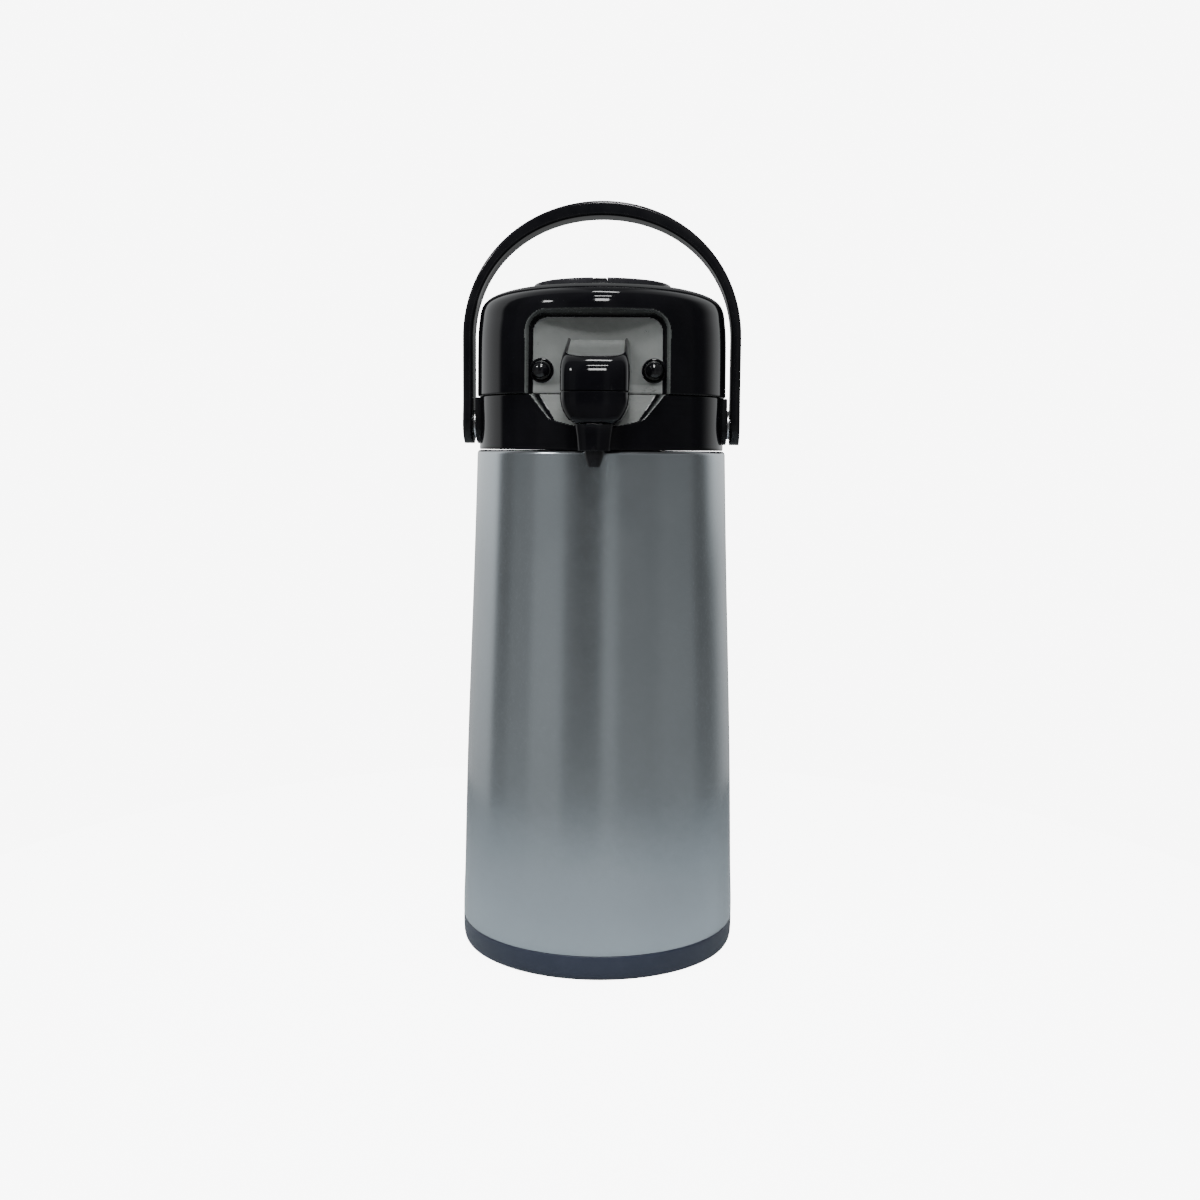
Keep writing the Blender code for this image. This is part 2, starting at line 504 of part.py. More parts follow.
# ---------------------------------------------------------------- pump
folds = 3
bellows_out, bellows_in = [], []
for k in range(2 * folds + 1):
    z = 313.4 + (344.4 - 313.4) * k / (2 * folds)
    r = 31.0 if k % 2 else 26.0
    bellows_out.append((r, z))
    bellows_in.append((r - 1.6, z))
bellows = turned("bellows", [(26.0, 312.3)] + bellows_out + [(26.0, 345.7), (24.4, 345.7)] + bellows_in[::-1]
                 + [(24.4, 312.3)], 20, SILICONE)
coil = []
turns, per_turn = 4, 10
for k in range(turns * per_turn + 1):
    a = 2 * math.pi * k / per_turn
    coil.append((14.0 * math.cos(a), 14.0 * math.sin(a), 313.2 + 31.4 * k / (turns * per_turn)))
return_spring = pipe("return_spring", coil, 0.8, 0.0, 5, STEEL)

plunger = turned("plunger", [(0.0, 346.0), (29.0, 346.0), (29.0, 348.6), (9.0, 348.6), (5.5, 352.0), (5.5, 363.6),
                             (0.0, 363.6)], 20, INNER)
intake_valve = turned("intake_valve", [(0.0, 342.6), (6.5, 342.6), (6.5, 344.2), (3.0, 344.2), (3.0, 345.7),
                                       (0.0, 345.7)], 16, SILICONE)
dome = [(BUTTON_R * math.cos(math.radians(a)), BUTTON_RIM + (BUTTON_TOP - BUTTON_RIM) * math.sin(math.radians(a)) ** 1.3)
        for a in (0, 14, 30, 48, 68)]
press_button = turned("press_button", [(0.0, BUTTON_TOP)] + dome[::-1] + [(BUTTON_R, 350.0), (35.3, 350.0),
                                                                          (35.3, 360.8), (31.0, 362.6), (0.0, 364.0)],
                      SEG_OUT, BUTTON)
cut(press_button, block("groove", (-4.0, -45.0, 365.5), (4.0, 8.0, 380.0)))
lock_slider = block("lock_slider", (-3.6, -33.5, 365.8), (3.6, -20.5, 367.6), HANDLE, bevel=0.5)

# ---------------------------------------------------------------- lid release buttons
release_buttons = []
for side, word in ((-1, "left"), (1, "right")):
    x = side * RELEASE_X
    bm = bmesh.new()
    # a low dome on a round plunger that runs back through the recess wall
    profile = [(0.0, 3.9), (2.2, 3.5), (3.9, 2.3), (4.9, 0.4), (4.9, -6.6), (0.0, -6.6)]
    knob = turned("release_button_" + word, profile, 16, HEAD)
    for vert in knob.data.vertices:
        r = vert.co.copy()
        vert.co = Vector((r.x + x * MM, -r.z - (RECESS_Y + RELEASE_PROUD) * MM, r.y + RELEASE_Z * MM))
    bm.from_mesh(knob.data)
    bmesh.ops.recalc_face_normals(bm, faces=bm.faces[:])
    bm.to_mesh(knob.data)
    bm.free()
    join(knob, block("arm", (x - 3.2, -49.8, 306.6), (x + 3.2, -47.4, 322.0)))
    join(knob, block("leg", (x - 2.2, -47.6, 296.4), (x + 2.2, -45.6, 311.0)))
    release_buttons.append(knob)

# ---------------------------------------------------------------- what moves with what
lid_pieces = [lid_cover, lid_base, lid_seal, exhaust_valve, bellows, return_spring] + lid_screws
group_on("bushes_axis", (0, 0, PIVOT_Z), pivot_bushes)
group_on("handle_axis", (0, 0, PIVOT_Z), [handle])
lid_axis = group_on("lid_axis", (0, HINGE_Y, HINGE_Z), lid_pieces)
group_on("button_axis", (0, 0, BUTTON_RIM), [press_button, plunger, intake_valve, lock_slider], lid_axis)
group_on("release_axis", (0, -RECESS_Y, RELEASE_Z), release_buttons, lid_axis)
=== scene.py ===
"""Looks of a push-button vacuum coffee airpot: fine surfaces, procedural finishes, studio and camera.

Frame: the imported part's own, metres, +Z up, the spout points to -Y. Lengths below are in millimetres unless said.
"""

import math

import bmesh
import bpy
import numpy as np
from mathutils import Matrix, Vector


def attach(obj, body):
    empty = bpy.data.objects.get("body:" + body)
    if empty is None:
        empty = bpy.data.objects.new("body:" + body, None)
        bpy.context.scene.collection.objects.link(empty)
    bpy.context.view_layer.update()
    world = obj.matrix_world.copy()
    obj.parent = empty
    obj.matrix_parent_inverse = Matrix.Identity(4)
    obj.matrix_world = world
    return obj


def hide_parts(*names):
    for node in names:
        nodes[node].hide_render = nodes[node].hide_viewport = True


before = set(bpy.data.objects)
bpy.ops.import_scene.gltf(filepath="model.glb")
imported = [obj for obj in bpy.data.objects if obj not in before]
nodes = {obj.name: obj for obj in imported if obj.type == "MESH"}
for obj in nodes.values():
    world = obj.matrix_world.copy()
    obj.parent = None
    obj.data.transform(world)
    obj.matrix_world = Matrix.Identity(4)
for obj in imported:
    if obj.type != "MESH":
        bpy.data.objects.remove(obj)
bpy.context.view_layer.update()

MM = 0.001
BAND_TOP = 14.1
SHELL_TOP = 277.0
SHELL_RADII = ((14.4, 76.6), (24.0, 76.5), (45.0, 75.8), (68.0, 75.3), (114.0, 74.1), (159.0, 72.5),
               (204.0, 70.8), (249.0, 69.3), (274.6, 68.55), (276.3, 68.2))
COLLAR_BOTTOM = 277.3
COLLAR_R = 67.3
COLLAR_TOP = 305.85
LID_BOTTOM = 306.2
LID_RADII = ((306.2, 68.4), (339.0, 68.0), (346.0, 67.4), (351.5, 66.6), (354.9, 65.3), (357.3, 63.2),
             (359.4, 59.9), (361.0, 55.8), (362.4, 50.8), (363.4, 45.9), (364.2, 40.6))
WELL_R = 38.2
BUTTON_R = 37.4
BUTTON_RIM = 365.0
BUTTON_TOP = 369.2
RECESS_Y = 53.6
NOSE_FRONT = 98.4
NOZZLE_Y = -88.6
PIVOT_Z = 291.5
PAD_R = 11.0
ARM_IN = 70.7
ARM_OUT = 76.1
ARCH_Z = 338.0
ARCH_TOP = 411.2
HINGE_Y = 72.6
HINGE_Z = 308.0
KNUCKLE_R = 3.4
PIN_R = 1.5
RELEASE_X = 29.0
RELEASE_Z = 318.0
RELEASE_PROUD = 2.3


# ---------------------------------------------------------------- mesh helpers
def from_arrays(name, verts, faces, sharp=32, index=None):
    mesh = bpy.data.meshes.new(name)
    mesh.from_pydata([tuple(v) for v in verts], [], [tuple(f) for f in faces])
    bm = bmesh.new()
    bm.from_mesh(mesh)
    bmesh.ops.remove_doubles(bm, verts=bm.verts[:], dist=2e-6)
    bmesh.ops.dissolve_degenerate(bm, edges=bm.edges[:], dist=1e-6)
    bmesh.ops.recalc_face_normals(bm, faces=bm.faces[:])
    bm.to_mesh(mesh)
    bm.free()
    obj = bpy.data.objects.new(name, mesh)
    bpy.context.scene.collection.objects.link(obj)
    mesh.shade_smooth()
    mesh.set_sharp_from_angle(angle=math.radians(sharp))
    return obj


def from_bmesh(bm, name, sharp=32):
    bmesh.ops.recalc_face_normals(bm, faces=bm.faces[:])
    mesh = bpy.data.meshes.new(name)
    bm.to_mesh(mesh)
    bm.free()
    obj = bpy.data.objects.new(name, mesh)
    bpy.context.scene.collection.objects.link(obj)
    mesh.shade_smooth()
    mesh.set_sharp_from_angle(angle=math.radians(sharp))
    return obj


def rounded(points, radius, steps=4, closed=True):
    """A polyline with every corner rounded by about the radius, or less where its edges are short."""
    out = []
    n = len(points)
    for i, p in enumerate(points):
        if not closed and i in (0, n - 1):
            out.append(tuple(p))
            continue
        a, b = points[i - 1], points[(i + 1) % n]
        va = (a[0] - p[0], a[1] - p[1])
        vb = (b[0] - p[0], b[1] - p[1])
        la, lb = math.hypot(*va), math.hypot(*vb)
        if la < 1e-6 or lb < 1e-6:
            out.append(tuple(p))
            continue
        cosine = (va[0] * vb[0] + va[1] * vb[1]) / (la * lb)
        if cosine < -0.985:
            out.append(tuple(p))
            continue
        cut_back = min(radius, la * 0.45, lb * 0.45)
        s = (p[0] + va[0] / la * cut_back, p[1] + va[1] / la * cut_back)
        e = (p[0] + vb[0] / lb * cut_back, p[1] + vb[1] / lb * cut_back)
        for k in range(steps + 1):
            t = k / steps
            out.append(((1 - t) ** 2 * s[0] + 2 * t * (1 - t) * p[0] + t * t * e[0],
                        (1 - t) ** 2 * s[1] + 2 * t * (1 - t) * p[1] + t * t * e[1]))
    return out


def turned(name, outline, seg=160, centre=(0.0, 0.0), sharp=32):
    """A closed (radius, height) loop, or an open line with both ends on the axis, turned about a vertical axis."""
    outline = [p for i, p in enumerate(outline) if i == 0 or math.dist(p, outline[i - 1]) > 1e-4]
    on_axis = outline[0][0] < 1e-6 and outline[-1][0] < 1e-6
    rows, verts, faces = [], [], []
    for r, z in outline:
        if r < 1e-6:
            rows.append([len(verts)] * seg)
            verts.append((centre[0] * MM, centre[1] * MM, z * MM))
        else:
            rows.append(list(range(len(verts), len(verts) + seg)))
            verts += [((centre[0] + r * math.cos(a)) * MM, (centre[1] + r * math.sin(a)) * MM, z * MM)
                      for a in (2 * math.pi * k / seg for k in range(seg))]
    pairs = list(zip(rows, rows[1:])) + ([] if on_axis else [(rows[-1], rows[0])])
    for a, b in pairs:
        for k in range(seg):
            j = (k + 1) % seg
            face = []
            for v in (a[k], a[j], b[j], b[k]):
                if v not in face:
                    face.append(v)
            if len(face) > 2:
                faces.append(face)
    return from_arrays(name, verts, faces, sharp)


def turn_to(obj, origin, direction):
    """Lays a piece turned about +Z along another direction, with its z = 0 at the origin, in mm."""
    turn = Vector(direction).to_track_quat("Z", "Y").to_matrix().to_4x4()
    obj.data.transform(Matrix.Translation(Vector(origin) * MM) @ turn)
    return obj


def prism(name, outline, axis, low, high, bevel=0.0, segments=3, sharp=32):
    place = {"X": lambda a, b, t: (t, a, b), "Y": lambda a, b, t: (a, t, b), "Z": lambda a, b, t: (a, b, t)}[axis]
    bm = bmesh.new()
    base = [bm.verts.new([c * MM for c in place(a, b, low)]) for a, b in outline]
    face = bm.faces.new(base)
    made = bmesh.ops.extrude_face_region(bm, geom=[face])
    moved = [g for g in made["geom"] if isinstance(g, bmesh.types.BMVert)]
    bmesh.ops.translate(bm, verts=moved, vec=[c * MM for c in place(0.0, 0.0, high - low)])
    if bevel:
        bmesh.ops.recalc_face_normals(bm, faces=bm.faces[:])
        caps = {f for f in bm.faces if len(f.verts) == len(outline)}
        edges = [e for e in bm.edges if any(f in caps for f in e.link_faces) and e.calc_face_angle(0.0) > 0.8]
        bmesh.ops.bevel(bm, geom=edges, offset=bevel * MM, segments=segments, affect="EDGES", profile=0.5,
                        clamp_overlap=True)
    return from_bmesh(bm, name, sharp)


def block(name, low, high, bevel=0.0, segments=3):
    bm = bmesh.new()
    size = [(h - l) * MM for l, h in zip(low, high)]
    mid = [(h + l) * MM / 2 for l, h in zip(low, high)]
    bmesh.ops.create_cube(bm, size=1.0, matrix=Matrix.Translation(mid) @ Matrix.Diagonal((*size, 1.0)))
    if bevel:
        bmesh.ops.bevel(bm, geom=bm.edges[:], offset=bevel * MM, segments=segments, affect="EDGES", profile=0.5)
    return from_bmesh(bm, name)


def rod(name, start, end, r_start, r_end=None, seg=64):
    a, b = Vector(start) * MM, Vector(end) * MM
    r_end = r_start if r_end is None else r_end
    along = b - a
    turn = along.to_track_quat("Z", "Y").to_matrix().to_4x4()
    bm = bmesh.new()
    bmesh.ops.create_cone(bm, cap_ends=True, segments=seg, radius1=r_start * MM, radius2=r_end * MM,
                          depth=along.length, matrix=Matrix.Translation((a + b) / 2) @ turn)
    return from_bmesh(bm, name)


def loft(name, rings, closed_loop=False, sharp=32, slots=None):
    """A skin through rings of equal point count. With closed_loop the last ring joins the first, else both ends are capped.

    slots names the material index of each band between two rings.
    """
    verts = [tuple(c * MM for c in p) for ring in rings for p in ring]
    n = len(rings[0])
    faces, index = [], []
    bands = len(rings) if closed_loop else len(rings) - 1
    for j in range(bands):
        a, b = j * n, ((j + 1) % len(rings)) * n
        for i in range(n):
            faces.append((a + i, a + (i + 1) % n, b + (i + 1) % n, b + i))
            index.append(slots[j] if slots else 0)
    if not closed_loop:
        faces.append(tuple(range(n))[::-1])
        faces.append(tuple((len(rings) - 1) * n + i for i in range(n)))
        index += [slots[0] if slots else 0, slots[-1] if slots else 0]
    mesh = bpy.data.meshes.new(name)
    mesh.from_pydata(verts, [], faces)
    mesh.polygons.foreach_set("material_index", index)
    bm = bmesh.new()
    bm.from_mesh(mesh)
    bmesh.ops.remove_doubles(bm, verts=bm.verts[:], dist=2e-6)
    bmesh.ops.dissolve_degenerate(bm, edges=bm.edges[:], dist=1e-6)
    return_mesh = bpy.data.meshes.new(name)
    bmesh.ops.recalc_face_normals(bm, faces=bm.faces[:])
    bm.to_mesh(return_mesh)
    bm.free()
    bpy.data.meshes.remove(mesh)
    return_mesh.name = name
    obj = bpy.data.objects.new(name, return_mesh)
    bpy.context.scene.collection.objects.link(obj)
    return_mesh.shade_smooth()
    return_mesh.set_sharp_from_angle(angle=math.radians(sharp))
    return obj


def pipe(name, path, r_out, r_in, seg=28):
    """A hollow tube, or a solid wire with r_in = 0, along points in mm."""
    points = [Vector(p) for p in path]
    rings_out, rings_in = [], []
    side = None
    for i, p in enumerate(points):
        t = (points[min(i + 1, len(points) - 1)] - points[max(i - 1, 0)]).normalized()
        if side is None:
            side = t.orthogonal().normalized()
        side = (side - t * side.dot(t)).normalized()
        up = t.cross(side)
        for store, r in ((rings_out, r_out), (rings_in, r_in)):
            store.append([tuple(p + (side * math.cos(a) + up * math.sin(a)) * r)
                          for a in (2 * math.pi * k / seg for k in range(seg))])
    if r_in:
        return loft(name, rings_out + rings_in[::-1], closed_loop=True)
    return loft(name, rings_out)


def boolean(obj, tool, operation, sharp=32):
    mod = obj.modifiers.new(operation.lower(), "BOOLEAN")
    mod.operation, mod.object, mod.solver = operation, tool, "EXACT"
    graph = bpy.context.evaluated_depsgraph_get()
    mesh = bpy.data.meshes.new_from_object(obj.evaluated_get(graph))
    obj.modifiers.clear()
    old = obj.data
    obj.data = mesh
    bpy.data.meshes.remove(old)
    mesh.name = obj.name
    bm = bmesh.new()
    bm.from_mesh(mesh)
    bmesh.ops.remove_doubles(bm, verts=bm.verts[:], dist=2e-6)
    bmesh.ops.dissolve_degenerate(bm, edges=bm.edges[:], dist=1e-6)
    bm.to_mesh(mesh)
    bm.free()
    mesh.shade_smooth()
    mesh.set_sharp_from_angle(angle=math.radians(sharp))
    data = tool.data
    bpy.data.objects.remove(tool, do_unlink=True)
    bpy.data.meshes.remove(data)
    return obj


def cut(obj, *tools):
    for tool in tools:
        boolean(obj, tool, "DIFFERENCE")
    return obj


def arc(cx, cz, r, a0, a1, n):
    return [(cx + r * math.cos(math.radians(a0 + (a1 - a0) * i / n)),
             cz + r * math.sin(math.radians(a0 + (a1 - a0) * i / n))) for i in range(n + 1)]


def spline(table, n):
    """Points on a smooth curve through (z, r) pairs, n to each span."""
    pts = [np.array(p, float) for p in table]
    out = []
    for i in range(len(pts) - 1):
        p0, p1, p2 = pts[max(i - 1, 0)], pts[i], pts[i + 1]
        p3 = pts[min(i + 2, len(pts) - 1)]
        d = [max(np.linalg.norm(b - a), 1e-6) ** 0.5 for a, b in ((p0, p1), (p1, p2), (p2, p3))]
        m1 = (p2 - p1) + d[1] * ((p1 - p0) / d[0] - (p2 - p0) / (d[0] + d[1])) if i else (p2 - p1)
        m2 = (p2 - p1) + d[1] * ((p3 - p2) / d[2] - (p3 - p1) / (d[1] + d[2])) if i < len(pts) - 2 else (p2 - p1)
        for k in range(n):
            t = k / n
            out.append(tuple((2 * t ** 3 - 3 * t * t + 1) * p1 + (t ** 3 - 2 * t * t + t) * m1
                             + (-2 * t ** 3 + 3 * t * t) * p2 + (t ** 3 - t * t) * m2))
    return out + [tuple(pts[-1])]


# ---------------------------------------------------------------- finishes
def finish(name, dark, light, rough, metal=0.0, cloud=60.0, grain=900.0, grain_depth=0.00002, grain_share=0.25,
           wear=None, wear_share=0.35, brushed=None, specks=None, spec=0.5, coat=0.0, coat_rough=0.1, sheen=0.0,
           transmission=0.0, ior=1.45, aniso=0.0):
    """A procedural finish: clouded colour and roughness, a fine grain, worn edges, and brush lines or flakes."""
    mat = bpy.data.materials.new(name)
    mat.use_nodes = True
    tree = mat.node_tree
    shader = tree.nodes["Principled BSDF"]
    link = tree.links.new

    def node(kind, **values):
        made = tree.nodes.new(kind)
        for key, value in values.items():
            setattr(made, key, value)
        return made

    place = node("ShaderNodeTexCoord")
    clouds = node("ShaderNodeTexNoise")
    clouds.inputs["Scale"].default_value = cloud
    clouds.inputs["Detail"].default_value = 5.0
    clouds.inputs["Roughness"].default_value = 0.6
    link(place.outputs["Object"], clouds.inputs["Vector"])
    spread = node("ShaderNodeMapRange")
    spread.inputs["From Min"].default_value = 0.3
    spread.inputs["From Max"].default_value = 0.7
    link(clouds.outputs["Fac"], spread.inputs["Value"])
    fine = node("ShaderNodeTexNoise")
    fine.inputs["Scale"].default_value = grain
    fine.inputs["Detail"].default_value = 3.0
    link(place.outputs["Object"], fine.inputs["Vector"])
    share = node("ShaderNodeMix", data_type="FLOAT")
    share.inputs["Factor"].default_value = grain_share
    link(spread.outputs["Result"], share.inputs[2])
    link(fine.outputs["Fac"], share.inputs[3])
    factor = share.outputs[0]
    height = fine.outputs["Fac"]
    if brushed:
        stretch = node("ShaderNodeMapping")
        stretch.inputs["Scale"].default_value = brushed
        link(place.outputs["Object"], stretch.inputs["Vector"])
        lines = node("ShaderNodeTexNoise")
        lines.inputs["Scale"].default_value = 1.0
        lines.inputs["Detail"].default_value = 4.0
        link(stretch.outputs["Vector"], lines.inputs["Vector"])
        both = node("ShaderNodeMix", data_type="FLOAT")
        both.inputs["Factor"].default_value = 0.5
        link(factor, both.inputs[2])
        link(lines.outputs["Fac"], both.inputs[3])
        factor = both.outputs[0]
        height = lines.outputs["Fac"]
    colour = node("ShaderNodeMix", data_type="RGBA")
    colour.inputs[6].default_value = (*dark, 1.0)
    colour.inputs[7].default_value = (*light, 1.0)
    link(factor, colour.inputs["Factor"])
    painted = colour.outputs[2]
    roughness = node("ShaderNodeMapRange")
    roughness.inputs["To Min"].default_value = rough[0]
    roughness.inputs["To Max"].default_value = rough[1]
    link(factor, roughness.inputs["Value"])
    rough_out = roughness.outputs["Result"]
    if specks:
        cells = node("ShaderNodeTexVoronoi")
        cells.inputs["Scale"].default_value = specks[0]
        link(place.outputs["Object"], cells.inputs["Vector"])
        dots = node("ShaderNodeMapRange")
        dots.inputs["From Min"].default_value = specks[1]
        dots.inputs["From Max"].default_value = specks[1] * 0.4
        dots.inputs["To Max"].default_value = specks[3]
        link(cells.outputs["Distance"], dots.inputs["Value"])
        fleck = node("ShaderNodeMix", data_type="RGBA")
        fleck.inputs[7].default_value = (*specks[2], 1.0)
        link(dots.outputs["Result"], fleck.inputs["Factor"])
        link(painted, fleck.inputs[6])
        painted = fleck.outputs[2]
    if wear:
        shape = node("ShaderNodeNewGeometry")
        edge = node("ShaderNodeMapRange")
        edge.inputs["From Min"].default_value = 0.515
        edge.inputs["From Max"].default_value = 0.60
        edge.inputs["To Max"].default_value = wear_share
        link(shape.outputs["Pointiness"], edge.inputs["Value"])
        broken = node("ShaderNodeMath", operation="MULTIPLY")
        link(edge.outputs["Result"], broken.inputs[0])
        link(spread.outputs["Result"], broken.inputs[1])
        rub = node("ShaderNodeMix", data_type="RGBA")
        rub.inputs[7].default_value = (*wear, 1.0)
        link(broken.outputs["Value"], rub.inputs["Factor"])
        link(painted, rub.inputs[6])
        painted = rub.outputs[2]
        dull = node("ShaderNodeMath", operation="MULTIPLY_ADD")
        dull.inputs[1].default_value = 0.25
        link(broken.outputs["Value"], dull.inputs[0])
        link(rough_out, dull.inputs[2])
        rough_out = dull.outputs["Value"]
    link(painted, shader.inputs["Base Color"])
    link(rough_out, shader.inputs["Roughness"])
    bump = node("ShaderNodeBump")
    bump.inputs["Strength"].default_value = 1.0
    bump.inputs["Distance"].default_value = grain_depth
    link(height, bump.inputs["Height"])
    link(bump.outputs["Normal"], shader.inputs["Normal"])
    shader.inputs["Metallic"].default_value = metal
    shader.inputs["Specular IOR Level"].default_value = spec
    shader.inputs["Coat Weight"].default_value = coat
    shader.inputs["Coat Roughness"].default_value = coat_rough
    shader.inputs["Sheen Weight"].default_value = sheen
    shader.inputs["Transmission Weight"].default_value = transmission
    shader.inputs["IOR"].default_value = ior
    shader.inputs["Anisotropic"].default_value = aniso
    return mat


HEAD = finish("head_gloss_black", (0.0015, 0.0015, 0.002), (0.0035, 0.0035, 0.0045), (0.03, 0.08), cloud=45.0, grain=420.0,
              grain_depth=0.0000007, wear=(0.03, 0.03, 0.032), wear_share=0.25, spec=0.18)
PANEL = finish("panel_satin_grey", (0.138, 0.147, 0.144), (0.185, 0.194, 0.189), (0.24, 0.36), metal=0.35, cloud=70.0,
               grain=2600.0, grain_depth=0.000006, grain_share=0.45, wear=(0.36, 0.37, 0.36), wear_share=0.3)
# a darker copy of the panel grey for the nose's top plate: its own grey paint plus painted shade
SCOOP_SHADED = finish("nose_scoop_shaded_grey", (0.088, 0.094, 0.092), (0.124, 0.131, 0.128), (0.26, 0.38), metal=0.3, cloud=70.0,
               grain=2600.0, grain_depth=0.000006, grain_share=0.45, wear=(0.24, 0.25, 0.24), wear_share=0.3)
# lighter grey on the outer part of the recess wall: a painted highlight along the rim of the recess
RECESS_RIM_HIGHLIGHT = finish("recess_rim_painted_highlight", (0.042, 0.046, 0.045), (0.066, 0.071, 0.069), (0.20, 0.32), metal=0.2, cloud=70.0,
              grain=2600.0, grain_depth=0.000003, grain_share=0.45, wear=(0.22, 0.23, 0.22), wear_share=0.35)
WING = finish("collar_recess_grey", (0.098, 0.104, 0.101), (0.136, 0.143, 0.138), (0.46, 0.60), metal=0.1, cloud=70.0,
              grain=2600.0, grain_depth=0.000006, grain_share=0.45, wear=(0.30, 0.31, 0.30), wear_share=0.3, spec=0.3)
KNOB = finish("release_gloss_black", (0.002, 0.002, 0.0025), (0.004, 0.004, 0.005), (0.05, 0.11), cloud=120.0, grain=900.0,
              grain_depth=0.0000006, wear=(0.03, 0.03, 0.03), wear_share=0.2, spec=0.6)
HANDLE = finish("handle_black", (0.003, 0.003, 0.004), (0.007, 0.007, 0.008), (0.10, 0.19), cloud=80.0, grain=1300.0,
                grain_depth=0.0000015, wear=(0.04, 0.04, 0.04), wear_share=0.25, spec=0.3)
BUTTON = finish("button_black", (0.009, 0.009, 0.011), (0.018, 0.018, 0.021), (0.22, 0.34), cloud=90.0, grain=1800.0,
                grain_depth=0.000003, grain_share=0.45, wear=(0.05, 0.05, 0.05), wear_share=0.3, spec=0.3)
SHELL = finish("shell_metallic_grey", (0.405, 0.445, 0.472), (0.465, 0.505, 0.532), (0.17, 0.24), metal=0.93, cloud=22.0,
               grain=5200.0, grain_depth=0.0000016, grain_share=0.5, specks=(4200.0, 0.22, (0.56, 0.60, 0.62), 0.25),
               wear=(0.6, 0.6, 0.6), wear_share=0.25, coat=0.0)
RIM = finish("shell_rim_bright", (0.17, 0.18, 0.19), (0.26, 0.27, 0.28), (0.18, 0.30), metal=1.0, cloud=60.0,
             grain=2400.0, grain_depth=0.000004, brushed=(40.0, 40.0, 5200.0))
BASE = finish("base_navy_grey", (0.014, 0.018, 0.032), (0.024, 0.029, 0.046), (0.36, 0.48), cloud=55.0, grain=2200.0,
              grain_depth=0.00002, grain_share=0.45, wear=(0.10, 0.11, 0.13), wear_share=0.5)
RUBBER = finish("foot_rubber", (0.012, 0.012, 0.012), (0.028, 0.028, 0.027), (0.68, 0.85), cloud=120.0, grain=2600.0,
                grain_depth=0.00004, wear=(0.06, 0.06, 0.055), wear_share=0.5, spec=0.3)
CUSHION = finish("cushion_rubber", (0.020, 0.019, 0.018), (0.040, 0.038, 0.036), (0.70, 0.88), cloud=140.0, grain=1800.0,
                 grain_depth=0.00005, wear=(0.07, 0.07, 0.06), wear_share=0.5, spec=0.3)
INNER = finish("inner_plastic", (0.018, 0.018, 0.019), (0.034, 0.034, 0.035), (0.34, 0.50), cloud=85.0, grain=2400.0,
               grain_depth=0.00002, grain_share=0.4, wear=(0.09, 0.09, 0.09), wear_share=0.45)
SILICONE = finish("seal_silicone", (0.50, 0.50, 0.47), (0.62, 0.62, 0.58), (0.42, 0.58), cloud=110.0, grain=2000.0,
                  grain_depth=0.00002, wear=(0.40, 0.38, 0.34), wear_share=0.4, spec=0.4)
GLASS = finish("silvered_glass", (0.66, 0.69, 0.73), (0.80, 0.82, 0.85), (0.03, 0.10), metal=0.92, cloud=18.0, grain=300.0,
               grain_depth=0.000008, grain_share=0.2, coat=0.6, coat_rough=0.03)
STEEL = finish("steel", (0.48, 0.48, 0.49), (0.64, 0.64, 0.65), (0.18, 0.34), metal=1.0, cloud=160.0, grain=4000.0,
               grain_depth=0.000005, brushed=(900.0, 900.0, 9000.0), wear=(0.75, 0.75, 0.75), wear_share=0.4)
TUBE = finish("tube_plastic", (0.52, 0.52, 0.49), (0.66, 0.66, 0.63), (0.22, 0.36), cloud=90.0, grain=1500.0,
              grain_depth=0.00001, wear=(0.5, 0.48, 0.42), wear_share=0.3)


def place(obj, body, slot, mats, *replaced):
    index = [p.material_index for p in obj.data.polygons]
    obj.data.materials.clear()
    for mat in (mats if isinstance(mats, (list, tuple)) else [mats]):
        obj.data.materials.append(mat)
    obj.data.polygons.foreach_set("material_index", index)
    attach(obj, body)
    if replaced:
        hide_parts(*replaced)
    return obj


# ---------------------------------------------------------------- base and body
foot = turned("foot_ring_fine", rounded([(66.2, 0.0), (72.2, 0.0), (72.2, 2.3), (66.2, 2.3)], 0.6), 160)
place(foot, "pot", "base_rubber", RUBBER, "foot_ring")

cap_line = [(73.6, 0.5), (75.0, 1.3), (75.9, 2.9), (76.35, 5.2), (76.55, 8.5), (76.6, BAND_TOP - 0.5), (76.35, BAND_TOP),
            (75.2, BAND_TOP), (74.9, 24.0), (72.6, 24.0), (72.8, 6.2), (31.5, 6.2), (31.5, 12.0), (25.6, 12.0),
            (25.6, 3.6), (28.3, 3.6), (28.3, 0.8), (65.9, 2.6), (72.5, 2.6), (72.5, 0.5)]
cap = turned("base_band_fine", rounded(cap_line, 0.45, 3), 192)
place(cap, "pot", "base_dark", BASE, "base_cap")

plug_line = [(0.0, 0.0), (27.4, 0.0), (28.0, 0.6), (28.0, 3.3), (25.3, 3.3), (25.3, 13.0), (21.5, 13.0), (21.5, 8.0), (0.0, 8.0)]
plug = turned("base_plug_fine", plug_line, 96)
cut(plug, rod("slot_a", (18, 0, -1), (18, 0, 5), 2.6, seg=32), rod("slot_b", (-18, 0, -1), (-18, 0, 5), 2.6, seg=32))
place(plug, "pot", "base_dark", BASE, "base_plug")

